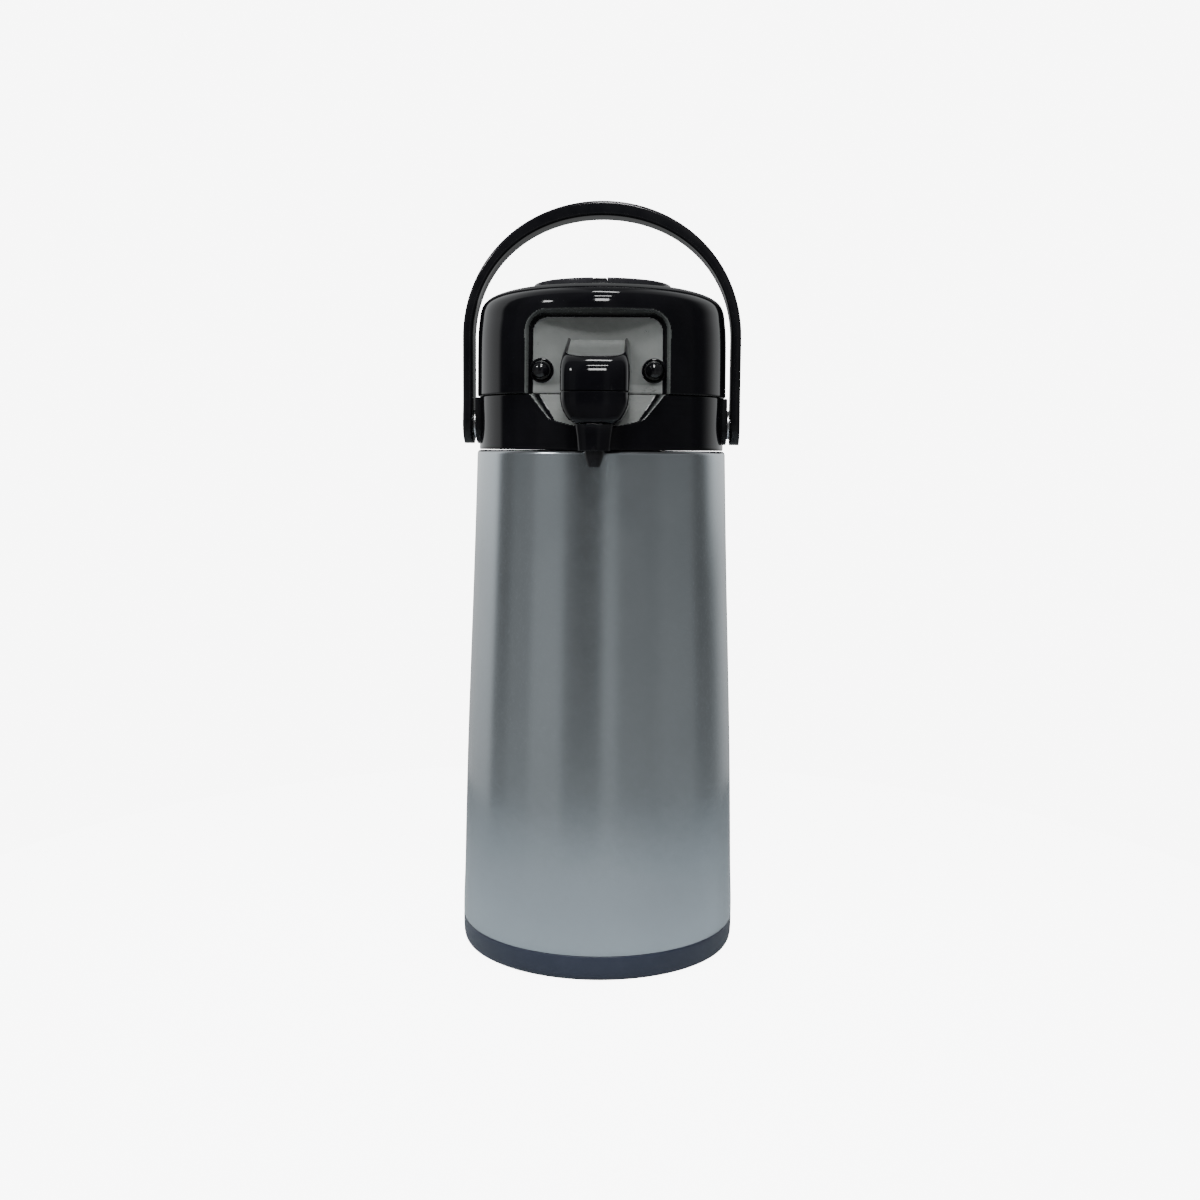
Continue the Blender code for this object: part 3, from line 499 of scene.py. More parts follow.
shell_curve = spline(SHELL_RADII[:-1], 6)
shell_line = [(75.6, 14.4), (76.2, 14.4)] + [(r, z) for z, r in shell_curve[1:]] + [
    (68.5, 275.2), (68.35, 275.8), (68.0, 276.4), (67.5, 276.8), (66.9, 277.0), (61.0, 277.0), (61.0, 276.1), (66.9, 276.1)]
shell_line += [(r - 1.1, z) for z, r in reversed(SHELL_RADII[:-1]) if z > 20]
shell_line += [(75.3, 24.0)]
shell = turned("body_shell_fine", shell_line, 224, sharp=40)
shell.data.materials.append(SHELL)
shell.data.materials.append(RIM)
for poly in shell.data.polygons:
    poly.material_index = 1 if poly.center.z > 0.2757 else 0
place(shell, "pot", "shell_metal", [SHELL, RIM], "body_shell")


# ---------------------------------------------------------------- the head's skin with its front recess
def floor_distance(z):
    """How far in front of the axis the recess floor lies at a height."""
    zs = [286.5, 289.6, 293.2, 297.4, 302.0, 306.5, 311.0, 316.0, 400.0]
    ys = [69.5, 66.0, 62.2, 58.8, 56.2, 54.6, 53.8, 53.6, 53.6]
    return np.interp(z, zs, ys)


def outline_distance(x, z, half, top, r):
    """Signed distance to an outline with straight sides, a flat top and rounded corners; positive outside."""
    qx = np.abs(x) - (half - r)
    qz = z - (top - r)
    outside = np.hypot(np.maximum(qx, 0), np.maximum(qz, 0))
    inside = np.minimum(np.maximum(qx, qz), 0)
    return outside + inside - r


def front_depth(x, z, big_r, is_lid):
    """Distance in front of the axis of the head's outer surface at each x, with the recess taken out, and a mask of the
    recess floor and of the outer part of its wall, which carries a painted highlight.
    """
    outer = np.sqrt(np.maximum(big_r ** 2 - x ** 2, 0.0))
    floor = np.minimum(floor_distance(z) + 0 * x, outer)
    if is_lid:
        inner_d = outline_distance(x, z, 34.0, 345.6, 8.0)
        outer_d = outline_distance(x, z, 37.4, 348.6, 11.0)
    else:
        half_in = 21.4 + (z - 291.0) * (30.6 - 21.4) / 14.85
        half_out = 23.0 + (z - 291.0) * (35.0 - 23.0) / 14.85
        inner_d = np.abs(x) - half_in
        outer_d = np.abs(x) - half_out
    t = np.clip(inner_d / np.maximum(inner_d - outer_d, 1e-6), 0.0, 1.0)
    rise = 0.45 * t + 0.55 * (t * t * (3 - 2 * t))
    depth = floor + rise * (outer - floor)
    # a small round where the recess meets the outer surface
    k = 0.35
    a, b = depth, outer
    h = np.clip(0.5 + 0.5 * (b - a) / k, 0.0, 1.0)
    depth = b * (1 - h) + a * h - k * h * (1 - h) * np.where(outer - floor > 0.02, 1.0, 0.0)
    deep = outer - floor > 0.25
    floor_part = (inner_d < -0.5) & deep
    # the outer part of the wall gets the lighter grey of a painted highlight along the rim
    painted_rim_highlight = (t > 0.40) & (outer_d < 0.35) & deep
    return depth, np.where(floor_part, 1, np.where(painted_rim_highlight, 2, 0))


def head_columns(fine=0.45):
    """Sines and cosines round the ring: close together over the front, wider behind."""
    reach = 0.66
    n = int(2 * reach * 68.0 / fine)
    s = np.linspace(-reach, reach, n + 1)
    front = [(v, -math.sqrt(1 - v * v), True) for v in s]
    a0 = math.atan2(-math.sqrt(1 - reach * reach), reach)
    a1 = a0 + 2 * math.pi - 2 * math.asin(reach)
    m = 150
    back = [(math.cos(a0 + (a1 - a0) * k / m), math.sin(a0 + (a1 - a0) * k / m), False) for k in range(1, m)]
    return front + back


def head_skin(name, rows, is_lid, sharp=32):
    """Rows of (R, z, inset, recessed): a closed loop swept round the axis, with the recess pressed in at the front."""
    cols = head_columns()
    c = np.array([v[0] for v in cols])
    s = np.array([v[1] for v in cols])
    is_front = np.array([v[2] for v in cols])
    verts, masks = [], []
    for big_r, z, inset, recessed in rows:
        x = big_r * c
        y = big_r * s
        mask = np.zeros(len(cols), int)
        if recessed:
            depth, m = front_depth(x, z, big_r, is_lid)
            y = np.where(is_front, -depth, y)
            mask = np.where(is_front & (inset < 0.7), m, 0)
        k = 1.0 - inset / big_r
        verts.append(np.stack([x * k, y * k, np.full(len(cols), z)], 1))
        masks.append(mask)
    n, count = len(cols), len(rows)
    verts = np.concatenate(verts) * MM
    faces, index = [], []
    for j in range(count):
        a, b = j * n, ((j + 1) % count) * n
        ma, mb = masks[j], masks[(j + 1) % count]
        for i in range(n):
            k = (i + 1) % n
            faces.append((a + i, a + k, b + k, b + i))
            index.append(int(ma[i]) if ma[i] == ma[k] == mb[i] == mb[k] else 0)
    mesh = bpy.data.meshes.new(name)
    mesh.from_pydata([tuple(v) for v in verts], [], faces)
    mesh.polygons.foreach_set("material_index", index)
    bm = bmesh.new()
    bm.from_mesh(mesh)
    bmesh.ops.recalc_face_normals(bm, faces=bm.faces[:])
    bm.to_mesh(mesh)
    bm.free()
    obj = bpy.data.objects.new(name, mesh)
    bpy.context.scene.collection.objects.link(obj)
    # slot 2 holds the painted highlight on the recess rim
    for mat in (HEAD, PANEL if is_lid else WING, RECESS_RIM_HIGHLIGHT):
        mesh.materials.append(mat)
    mesh.shade_smooth()
    mesh.set_sharp_from_angle(angle=math.radians(sharp))
    return obj


def steps(a, b, size):
    n = max(1, int(round(abs(b - a) / size)))
    return [a + (b - a) * i / n for i in range(n + 1)]


# collar: outer wall upwards, rim, inner wall downwards
rows = [(COLLAR_R, 277.3, 0.5, False), (COLLAR_R, 277.42, 0.22, False), (COLLAR_R, 277.7, 0.05, False), (COLLAR_R, 278.1, 0.0, False)]
rows += [(COLLAR_R, z, 0.0, False) for z in steps(279.0, 285.0, 1.5)]
rows += [(COLLAR_R, z, 0.0, True) for z in steps(285.6, 305.2, 0.45)]
rows += [(COLLAR_R, 305.5, 0.06, True), (COLLAR_R, 305.75, 0.25, True), (COLLAR_R, 305.85, 0.5, True), (COLLAR_R, 305.85, 2.4, True),
         (COLLAR_R, 305.7, 2.8, True), (COLLAR_R, 305.4, 3.0, True)]
rows += [(COLLAR_R, z, 3.0, True) for z in steps(304.6, 286.2, 0.9)]
rows += [(COLLAR_R, z, 3.0, False) for z in (285.2, 283.4)]
rows += [(COLLAR_R, 282.6, 3.1, False), (COLLAR_R, 280.2, 5.2, False), (COLLAR_R, 279.6, 6.3, False), (COLLAR_R, 277.3, 6.3, False)]
collar = head_skin("collar_skin", rows, False)
place(collar, "pot", "head_gloss", [HEAD, WING, RECESS_RIM_HIGHLIGHT], "collar")

plate = turned("collar_floor", rounded([(33.0, 284.4), (64.6, 284.4), (64.6, 287.4), (33.0, 287.4)], 0.4), 128)
place(plate, "pot", "head_gloss", HEAD)

for side, word in ((-1, "left"), (1, "right")):
    ear = [(-PAD_R, 305.6), (-PAD_R, PIVOT_Z)] + arc(0.0, PIVOT_Z, PAD_R, 180, 360, 32)[1:] + [(PAD_R, 305.6)]
    piece = prism("collar_ear_" + word, ear, "X", *sorted((side * 63.0, side * 69.0)), bevel=0.7)
    cut(piece, rod("pin_hole", (side * 60.0, 0, PIVOT_Z), (side * 75.0, 0, PIVOT_Z), 2.9, seg=32))
    place(piece, "pot", "head_gloss", HEAD)
    low, high = sorted((side * 9.3, side * 17.3))
    bracket = [(64.6, 296.6), (66.5, 292.6), (69.5, 292.6), (HINGE_Y + KNUCKLE_R, 302.6)]
    bracket += arc(HINGE_Y, HINGE_Z, KNUCKLE_R, 0, 180, 18)
    bracket += [(HINGE_Y - KNUCKLE_R, 305.4), (64.6, 305.4)]
    piece = prism("hinge_bracket_" + word, bracket, "X", low, high, bevel=0.5)
    cut(piece, rod("bore", (-25, HINGE_Y, HINGE_Z), (25, HINGE_Y, HINGE_Z), PIN_R + 0.3, seg=32))
    place(piece, "pot", "head_gloss", HEAD)


def d_ring(half, front, back, z, tip=0.62, n=22):
    height = z if callable(z) else (lambda y: z)
    straight = front + half * tip * 1.5
    points = [(half, y) for y in steps(back, straight, 1.6)]
    for i in range(1, n):
        a = math.pi / 2 * i / n
        points.append((half * math.cos(a) ** tip, straight + (front - straight) * math.sin(a) ** tip))
    points.append((0.0, front))
    points += [(-x, y) for x, y in reversed(points[:-1])]
    return [(x, y, height(y)) for x, y in points]


def same_count(rings):
    """Rings read again at equal shares of their length, so they can be joined."""
    out = []
    n = 140
    for ring in rings:
        p = np.array(ring, float)
        q = np.vstack([p, p[:1]])
        open_length = np.concatenate([[0], np.cumsum(np.linalg.norm(np.diff(p, axis=0), axis=1))])
        t = np.linspace(0, open_length[-1], n)
        out.append([tuple(np.interp(v, open_length, p[:, k]) for k in range(3)) for v in t])
    return out


def ring_between(table, z):
    """A ring read from a table of (z, half, front) rows."""
    zs = [r[0] for r in table]
    return (float(np.interp(z, zs, [r[1] for r in table])), float(np.interp(z, zs, [r[2] for r in table])))


# the beak below the seam: a hollow shell, open underneath
beak_curve = spline([(290.3, 10.9), (293.6, 13.9), (298.6, 16.4), (302.5, 17.1), (305.85, 17.2)], 5)
beak_front = spline([(290.3, -95.9), (293.6, -97.3), (298.6, -98.15), (302.5, -98.36), (305.85, -98.4)], 5)
outer_rings = [d_ring(9.9, -94.6, -53.2, 290.3), d_ring(10.5, -95.3, -53.2, 290.75), d_ring(11.2, -96.0, -53.2, 291.4)]
outer_rings += [d_ring(h, f, -53.2, z) for (z, h), (_, f) in zip(beak_curve, beak_front) if 291.6 < z < 305.5]
outer_rings += [d_ring(17.2, -98.4, -53.2, 305.6), d_ring(17.05, -98.25, -53.2, 305.8), d_ring(16.85, -98.05, -53.2, 305.85)]
inner_rings = [d_ring(15.3, -96.5, -58.6, 305.85), d_ring(15.0, -96.2, -58.8, 305.5), d_ring(14.2, -95.9, -60.0, 299.0),
               d_ring(11.6, -95.0, -61.6, 294.2), d_ring(8.9, -93.5, -62.4, 290.9), d_ring(8.9, -93.5, -62.6, 290.3)]
beak = loft("collar_beak", same_count(outer_rings + inner_rings), closed_loop=True)
place(beak, "pot", "head_gloss", HEAD)

# lid: outer wall upwards, dome, button bore, then back under the dome
lid_curve = spline(LID_RADII, 8)
rows = [(68.4, 306.2, 0.55, True), (68.4, 306.3, 0.28, True), (68.4, 306.55, 0.08, True), (68.39, 306.9, 0.0, True)]
wall_top = 350.9
lid_z = [p[0] for p in lid_curve]
lid_r = [p[1] for p in lid_curve]
rows += [(float(np.interp(z, lid_z, lid_r)), z, 0.0, True) for z in steps(307.3, wall_top, 0.45)]
rows += [(r, z, 0.0, False) for z, r in lid_curve if z > wall_top + 0.2 and z < 364.05]
rows += [(40.0, 364.2, 0.0, False), (39.2, 364.1, 0.0, False), (38.6, 363.8, 0.0, False), (38.3, 363.3, 0.0, False),
         (WELL_R, 362.6, 0.0, False), (WELL_R, 352.0, 0.0, False), (WELL_R, 344.0, 0.0, False), (40.4, 344.0, 0.0, False),
         (40.4, 360.6, 0.0, False)]
under = [(46.0, 360.2), (52.0, 358.9), (57.2, 357.0), (60.6, 354.9), (63.0, 352.2)]
rows += [(r, z, 0.0, False) for r, z in under]
rows += [(float(np.interp(z, lid_z, lid_r)), z, 2.5, True) for z in steps(348.6, 308.0, 0.9)]
rows += [(68.4, 306.6, 2.5, True), (68.4, 306.35, 2.3, True), (68.4, 306.2, 2.0, True)]
lid = head_skin("lid_skin", rows, True)
for sx in (-1, 1):
    cut(lid, rod("release_hole", (sx * RELEASE_X, -66.0, RELEASE_Z), (sx * RELEASE_X, -45.0, RELEASE_Z), 5.3, seg=64))
place(lid, "lid", "head_gloss", [HEAD, PANEL, RECESS_RIM_HIGHLIGHT], "lid_cover")

# raised collars round the two release holes
for sx, word in ((-1, "left"), (1, "right")):
    line = rounded([(5.3, -1.2), (6.5, -1.2), (6.3, 0.45), (5.5, 0.75), (5.3, 0.55)], 0.2, 3)
    ring = turned("release_surround_" + word, line, 72)
    turn_to(ring, (sx * RELEASE_X, -RECESS_Y, RELEASE_Z), (0, -1, 0))
    place(ring, "lid", "head_gloss", HEAD)


def nose_height(z_front, drop):
    return lambda y: z_front + (y + NOSE_FRONT - 6.0) / (NOSE_FRONT - 6.0 - 58.0) * drop


def scooped(z_front, drop, scoop, half):
    def height(x, y):
        base = nose_height(z_front, drop)(y)
        along = min(1.0, max(0.0, (y + 90.0) / 34.0))
        return base - scoop * max(0.0, 1 - (x / half) ** 2) * math.sin(math.pi * min(1.0, 0.12 + along * 0.8))
    return height


nose_table = [
    (17.0, -98.1, 306.2, 0.0), (17.2, -98.36, 306.4, 0.0), (17.25, -98.4, 307.2, 0.0), (17.3, -98.4, 309.5, 0.0),
    (17.3, -98.3, 312.0, 0.4), (17.3, -98.0, 314.4, 1.1), (17.28, -97.4, 316.6, 2.0), (17.2, -96.7, 318.3, 3.4),
    (17.0, -95.8, 319.8, 5.4), (16.6, -94.7, 320.9, 7.4), (16.1, -93.4, 321.8, 9.2), (15.6, -92.1, 322.3, 10.1),
    (15.2, -91.1, 322.5, 10.6), (14.8, -90.4, 322.45, 10.7)]
nose_rings = [d_ring(h, f, -53.0, nose_height(z, d)) for h, f, z, d in nose_table]
plate_shape = scooped(322.0, 10.6, 1.6, 14.5)
slots = [0] * (len(nose_rings) - 1)
nose_rings = same_count(nose_rings)
rim_ring = nose_rings[-1]
edge_rings = []
for shrink, lower in ((0.965, 0.15), (0.95, 0.55), (0.94, 0.75)):
    edge_rings.append([(x * shrink, -53.0 + (y + 53.0) * (1 - (1 - shrink) * 0.75), z - lower - 0.1) for x, y, z in rim_ring])
slots += [0, 0, 0]
# the plate rows take slot 1, the darker grey with painted shade
for share in (0.9, 0.78, 0.62, 0.46, 0.3, 0.15, 0.05):
    row = []
    for x, y, z in edge_rings[2]:
        px, py = x * share, -66.0 + (y + 66.0) * share
        if py > -53.0:
            py = -53.0
        row.append((px, py, plate_shape(px, py) - 0.4))
    edge_rings.append(row)
    slots.append(1)
nose = loft("lid_nose", nose_rings + edge_rings, slots=slots)
place(nose, "lid", "head_gloss", [HEAD, SCOOP_SHADED])

web = [(65.6, 306.6), (HINGE_Y - 1.0, 306.6)] + arc(HINGE_Y, HINGE_Z, KNUCKLE_R, -100, 120, 22) + [(65.6, 313.2)]
knuckle = prism("lid_knuckle", web, "X", -9.0, 9.0, bevel=0.5)
cut(knuckle, rod("bore", (-12, HINGE_Y, HINGE_Z), (12, HINGE_Y, HINGE_Z), PIN_R + 0.3, seg=32))
place(knuckle, "lid", "head_gloss", HEAD)
pin = turned("hinge_pin_fine", rounded([(0.0, -17.8), (PIN_R, -17.8), (PIN_R, 17.8), (0.0, 17.8)], 0.3, 3, closed=False), 40)
turn_to(pin, (0, HINGE_Y, HINGE_Z), (1, 0, 0))
place(pin, "pot", "steel", STEEL, "lid_hinge_pin")

# ---------------------------------------------------------------- nozzle and tubes
def oval(half_x, half_y, z, n=72):
    return [(half_x * math.copysign(abs(math.cos(a)) ** 0.75, math.cos(a)),
             NOZZLE_Y + half_y * math.copysign(abs(math.sin(a)) ** 0.75, math.sin(a)), z)
            for a in (2 * math.pi * k / n for k in range(n))]


guard_rings = [oval(7.7, 6.2, 277.0), oval(7.9, 6.4, 277.2), oval(8.0, 6.45, 277.8), oval(8.3, 6.55, 280.5), oval(8.6, 6.7, 284.0),
               oval(9.1, 6.87, 287.2), oval(9.5, 7.0, 290.0), oval(7.6, 5.7, 290.0), oval(7.0, 5.5, 286.0), oval(6.3, 5.3, 280.0),
               oval(6.3, 5.3, 277.4), oval(6.5, 5.45, 277.0)]
guard = loft("nozzle_guard_fine", guard_rings, closed_loop=True)
place(guard, "pot", "head_gloss", HEAD, "nozzle_guard")
tip_line = [(5.0, 278.6), (4.98, 277.2), (4.85, 275.3), (4.5, 273.6), (3.95, 272.0), (3.4, 270.6), (3.0, 269.4), (2.8, 269.0), (2.2, 269.0),
            (2.1, 269.4), (2.4, 271.6), (2.7, 273.6), (3.2, 276.0), (3.2, 278.6)]
tip = turned("spout_tip_fine", rounded(tip_line, 0.25, 2), 64, centre=(0.0, NOZZLE_Y))
place(tip, "pot", "inner_plastic", HANDLE, "spout_tip")
pipe_path = [(0, 0, 288.8), (0, 0, 291.0)]
pipe_path += [(0, -6.0 + 6.0 * math.cos(math.radians(a)), 291.0 + 6.0 * math.sin(math.radians(a))) for a in range(9, 91, 9)]
pipe_path += [(0, y, 297.0) for y in (-25.0, -45.0, -65.0)]
pipe_path += [(0, NOZZLE_Y + 7.0 - 7.0 * math.sin(math.radians(a)), 290.0 + 7.0 * math.cos(math.radians(a))) for a in range(0, 91, 9)]
pipe_path += [(0, NOZZLE_Y, 279.4)]
place(pipe("delivery_pipe_fine", pipe_path, 4.0, 2.9, 36), "pot", "tube_plastic", TUBE, "delivery_pipe")
place(pipe("dip_tube_fine", [(0, 0, z) for z in (28.0, 100.0, 200.0, 288.4)], 4.0, 3.0, 36), "pot", "tube_plastic", TUBE, "dip_tube")

# ---------------------------------------------------------------- vacuum liner, neck and seals
outer_line = [(0.0, 16.8), (30.0, 17.6), (52.0, 23.6), (60.2, 32.5), (63.0, 44.0), (63.0, 232.0), (61.4, 241.5), (57.0, 249.0),
              (40.0, 261.5), (30.6, 266.0), (28.6, 268.0), (28.3, 279.0), (26.9, 279.0), (27.1, 266.9), (39.0, 260.0),
              (55.6, 248.0), (61.4, 231.8), (61.4, 44.2), (50.9, 25.0), (29.6, 19.2), (0.0, 18.4)]
place(turned("liner_outer_fine", rounded(outer_line, 2.0, 3, closed=False), 96), "pot", "silvered_glass", GLASS, "liner_outer")
inner_line = [(0.0, 23.4), (28.0, 24.2), (48.0, 29.6), (58.5, 48.0), (58.5, 231.0), (52.6, 245.0),
              (37.0, 256.4), (25.0, 264.0), (24.8, 279.3), (28.3, 279.3), (28.3, 281.5),
              (22.7, 281.5), (22.9, 262.8), (35.8, 254.6), (51.0, 243.8), (56.8, 230.6),
              (56.8, 48.3), (46.9, 31.2), (27.8, 26.0), (0.0, 25.2)]
place(turned("liner_inner_fine", rounded(inner_line, 1.2, 4, closed=False), 96), "pot", "silvered_glass", GLASS, "liner_inner")
place(turned("liner_gasket_fine", rounded([(23.6, 281.8), (29.0, 281.8), (29.0, 283.7), (23.6, 283.7)], 0.5), 96),
      "pot", "seal_silicone", SILICONE, "liner_gasket")
place(turned("liner_cushion_fine", rounded([(7.0, 8.3), (21.2, 8.3), (21.2, 16.4), (7.0, 15.2)], 1.0), 64),
      "pot", "cushion_rubber", CUSHION, "liner_cushion")
neck = turned("neck_ring_fine", rounded([(23.6, 284.0), (32.6, 284.0), (32.6, 287.7), (38.0, 287.7), (38.0, 290.2),
                                         (27.0, 290.2), (27.0, 302.0), (23.6, 302.0)], 0.45), 112)
cut(neck, rod("port", (0, -40.0, 297.0), (0, -10.0, 297.0), 5.0, seg=48))
place(neck, "pot", "inner_plastic", INNER, "neck_ring")
for node_name, mat in (("tube_holder", INNER),):
    nodes[node_name].data.materials.clear()
    nodes[node_name].data.materials.append(mat)

base_ring = turned("lid_base_fine", rounded([(4.0, 309.0), (63.0, 309.0), (63.0, 312.0), (4.0, 312.0)], 0.5), 128)
cut(base_ring, block("flat", (-50.0, -80.0, 300.0), (50.0, -50.8, 320.0)))
for sx in (-1, 1):
    cut(base_ring, block("latch_slot", (sx * RELEASE_X - 4.2, -60.0, 300.0), (sx * RELEASE_X + 4.2, -39.5, 320.0), 0.8, 2))
    for sy in (-1, 1):
        cut(base_ring, rod("screw_hole", (sx * 35.5, sy * 35.5, 300.0), (sx * 35.5, sy * 35.5, 320.0), 1.7, seg=24))
place(base_ring, "lid", "inner_plastic", INNER, "lid_base")
seal_line = rounded([(19.6, 302.9), (22.0, 302.3), (28.5, 302.3), (30.5, 303.4), (30.5, 308.7), (19.6, 308.7)], 0.5)
place(turned("lid_seal_fine", seal_line, 96), "lid", "seal_silicone", SILICONE, "lid_seal")
valve_line = [(0.0, 306.6), (5.6, 306.6), (6.2, 307.2), (6.2, 308.3), (5.8, 308.7), (2.8, 308.7), (2.8, 313.4), (5.2, 313.4), (5.0, 314.6), (4.6, 314.8), (0.0, 314.8)]
place(turned("exhaust_valve_fine", valve_line, 48), "lid", "seal_silicone", SILICONE, "exhaust_valve")
for i, (sx, sy) in enumerate(((1, 1), (-1, 1), (-1, -1), (1, -1))):
    line = [(0.0, 306.75), (2.1, 306.62), (2.8, 306.8), (3.0, 307.3), (3.0, 308.7), (1.35, 308.7), (1.35, 318.0), (0.0, 318.0)]
    screw = turned("lid_screw_fine_%d" % (i + 1), line, 40, centre=(sx * 35.5, sy * 35.5))
    cut(screw, block("cross_a", (sx * 35.5 - 1.7, sy * 35.5 - 0.3, 306.0), (sx * 35.5 + 1.7, sy * 35.5 + 0.3, 307.9)),
        block("cross_b", (sx * 35.5 - 0.3, sy * 35.5 - 1.7, 306.0), (sx * 35.5 + 0.3, sy * 35.5 + 1.7, 307.9)))
    place(screw, "lid", "steel", STEEL, "lid_screw_%d" % (i + 1))

# ---------------------------------------------------------------- pump
folds = 3
out_line, in_line = [], []
for k in range(2 * folds + 1):
    z = 313.4 + 31.0 * k / (2 * folds)
    r = 31.0 if k % 2 else 26.0
    out_line.append((r, z))
    in_line.append((r - 1.6, z))
bellows_line = [(26.0, 312.3)] + out_line + [(26.0, 345.7), (24.4, 345.7)] + in_line[::-1] + [(24.4, 312.3)]
place(turned("bellows_fine", rounded(bellows_line, 1.2, 4), 96), "lid", "seal_silicone", SILICONE, "bellows")
coil = [(14.0 * math.cos(a), 14.0 * math.sin(a), 313.2 + 31.4 * k / 192) for k, a in ((k, 2 * math.pi * k / 48) for k in range(193))]
place(pipe("return_spring_fine", coil, 0.8, 0.0, 12), "lid", "steel", STEEL, "return_spring")
plunger_line = [(0.0, 346.0), (29.0, 346.0), (29.0, 348.6), (9.0, 348.6), (5.5, 352.0), (5.5, 363.6), (0.0, 363.6)]
place(turned("plunger_fine", rounded(plunger_line, 0.5, 3, closed=False), 72), "button", "inner_plastic", INNER, "plunger")
valve_line = [(0.0, 342.6), (6.5, 342.6), (6.5, 344.2), (3.0, 344.2), (3.0, 345.7), (0.0, 345.7)]
place(turned("intake_valve_fine", rounded(valve_line, 0.3, 3, closed=False), 48), "button", "seal_silicone", SILICONE, "intake_valve")

edge = BUTTON_RIM + 1.2
dome = [(BUTTON_R * math.cos(math.radians(a)), edge + (BUTTON_TOP - edge) * math.sin(math.radians(a)) ** 0.85)
        for a in (0, 3, 6, 10, 15, 21, 28, 36, 45, 55, 66, 76, 84)]
dome = [(r, z - 0.03) for r, z in dome]
# a shallow ring step just inside the rim
top_line = []
for r, z in dome[::-1]:
    if r < 34.0:
        z -= 0.25
    top_line.append((r, z))
button_line = [(0.0, BUTTON_TOP - 0.28)] + top_line + [(BUTTON_R, 364.2), (BUTTON_R, 350.4), (BUTTON_R - 0.4, 350.0), (35.3, 350.0),
                                                       (35.3, 360.8), (31.0, 362.6), (0.0, 364.0)]
button = turned("press_button_fine", button_line, 192)
groove = [(4.0, -46.0), (4.0, 4.0)] + arc(0.0, 4.0, 4.0, 0, 180, 24)[1:] + [(-4.0, -46.0)]
cut(button, prism("groove", groove, "Z", 365.5, 380.0))
place(button, "button", "button_black", BUTTON, "press_button")
lock = block("lock_slider_fine", (-3.6, -33.5, 365.8), (3.6, -20.5, 367.2), 0.4, 3)
ribs = []
place(lock, "lock", "button_black", HANDLE, "lock_slider")
for k in range(5):
    y = -31.0 + 2.0 * k
    rib = prism("lock_rib_%d" % (k + 1), [(y - 0.5, 367.0), (y + 0.5, 367.0), (y + 0.3, 367.55), (y - 0.3, 367.55)], "X", -3.0, 3.0, bevel=0.12, segments=2)
    place(rib, "lock", "button_black", HANDLE)

# ---------------------------------------------------------------- release buttons
for side, word in ((-1, "left"), (1, "right")):
    x = side * RELEASE_X
    # distances out of the rim plane: the dome swells in front of a straight rim
    line = [(0.0, 3.9), (0.9, 3.84), (1.8, 3.62), (2.7, 3.2), (3.5, 2.58), (4.1, 1.85), (4.55, 1.1), (4.8, 0.5), (4.88, 0.0), (4.88, -6.6), (0.0, -6.6)]
    knob = turned("release_button_fine_" + word, line, 72)
    turn_to(knob, (x, -RECESS_Y - RELEASE_PROUD, RELEASE_Z), (0, -1, 0))
    place(knob, "release_" + word, "head_gloss", KNOB, "release_button_" + word)
    arm = block("release_arm_" + word, (x - 3.2, -49.8, 306.6), (x + 3.2, -47.4, 322.0), 0.4, 2)
    place(arm, "release_" + word, "head_gloss", HEAD)
    leg = block("release_leg_" + word, (x - 2.2, -47.6, 296.4), (x + 2.2, -45.6, 311.0), 0.4, 2)
    place(leg, "release_" + word, "head_gloss", HEAD)
for word in ("left", "right"):
    nodes["catch_plate_" + word].data.materials.clear()
    nodes["catch_plate_" + word].data.materials.append(STEEL)


# ---------------------------------------------------------------- bail handle
def handle_station(u):
    """Centre, outward normal, half thickness and half width at u from 0 (left foot) to 1 (right foot)."""
    leg = ARCH_Z - (PIVOT_Z - PAD_R)
    bend = math.pi * 73.0
    total = 2 * leg + bend
    s = u * total
    if s < leg or s > total - leg:
        side = -1 if s < leg else 1
        z = (PIVOT_Z - PAD_R) + (s if s < leg else total - s)
        centre = Vector((side * (ARM_OUT + ARM_IN) / 2, 0.0, z))
        normal = Vector((side, 0.0, 0.0))
        thick = (ARM_OUT - ARM_IN) / 2
        rise = z - (PIVOT_Z - PAD_R)
        half = PAD_R * math.sqrt(max(0.0, 1 - ((z - PIVOT_Z) / PAD_R) ** 2)) if z < PIVOT_Z else 0.0
        if z >= PIVOT_Z:
            t = min(1.0, (z - PIVOT_Z) / 13.0)
            half = PAD_R + (9.4 - PAD_R) * (t * t * (3 - 2 * t))
        return centre, normal, thick, max(half, 0.05)
    a = (s - leg) / bend * math.pi
    ro = ARM_OUT + (ARCH_TOP - ARCH_Z - ARM_OUT) * math.sin(a) ** 3
    ri = ARM_IN + (ARCH_TOP - ARCH_Z - 7.8 - ARM_IN) * math.sin(a) ** 3
    direction = Vector((-math.cos(a), 0.0, math.sin(a)))
    centre = Vector((0, 0, ARCH_Z)) + direction * (ro + ri) / 2
    return centre, direction, (ro - ri) / 2, 9.4


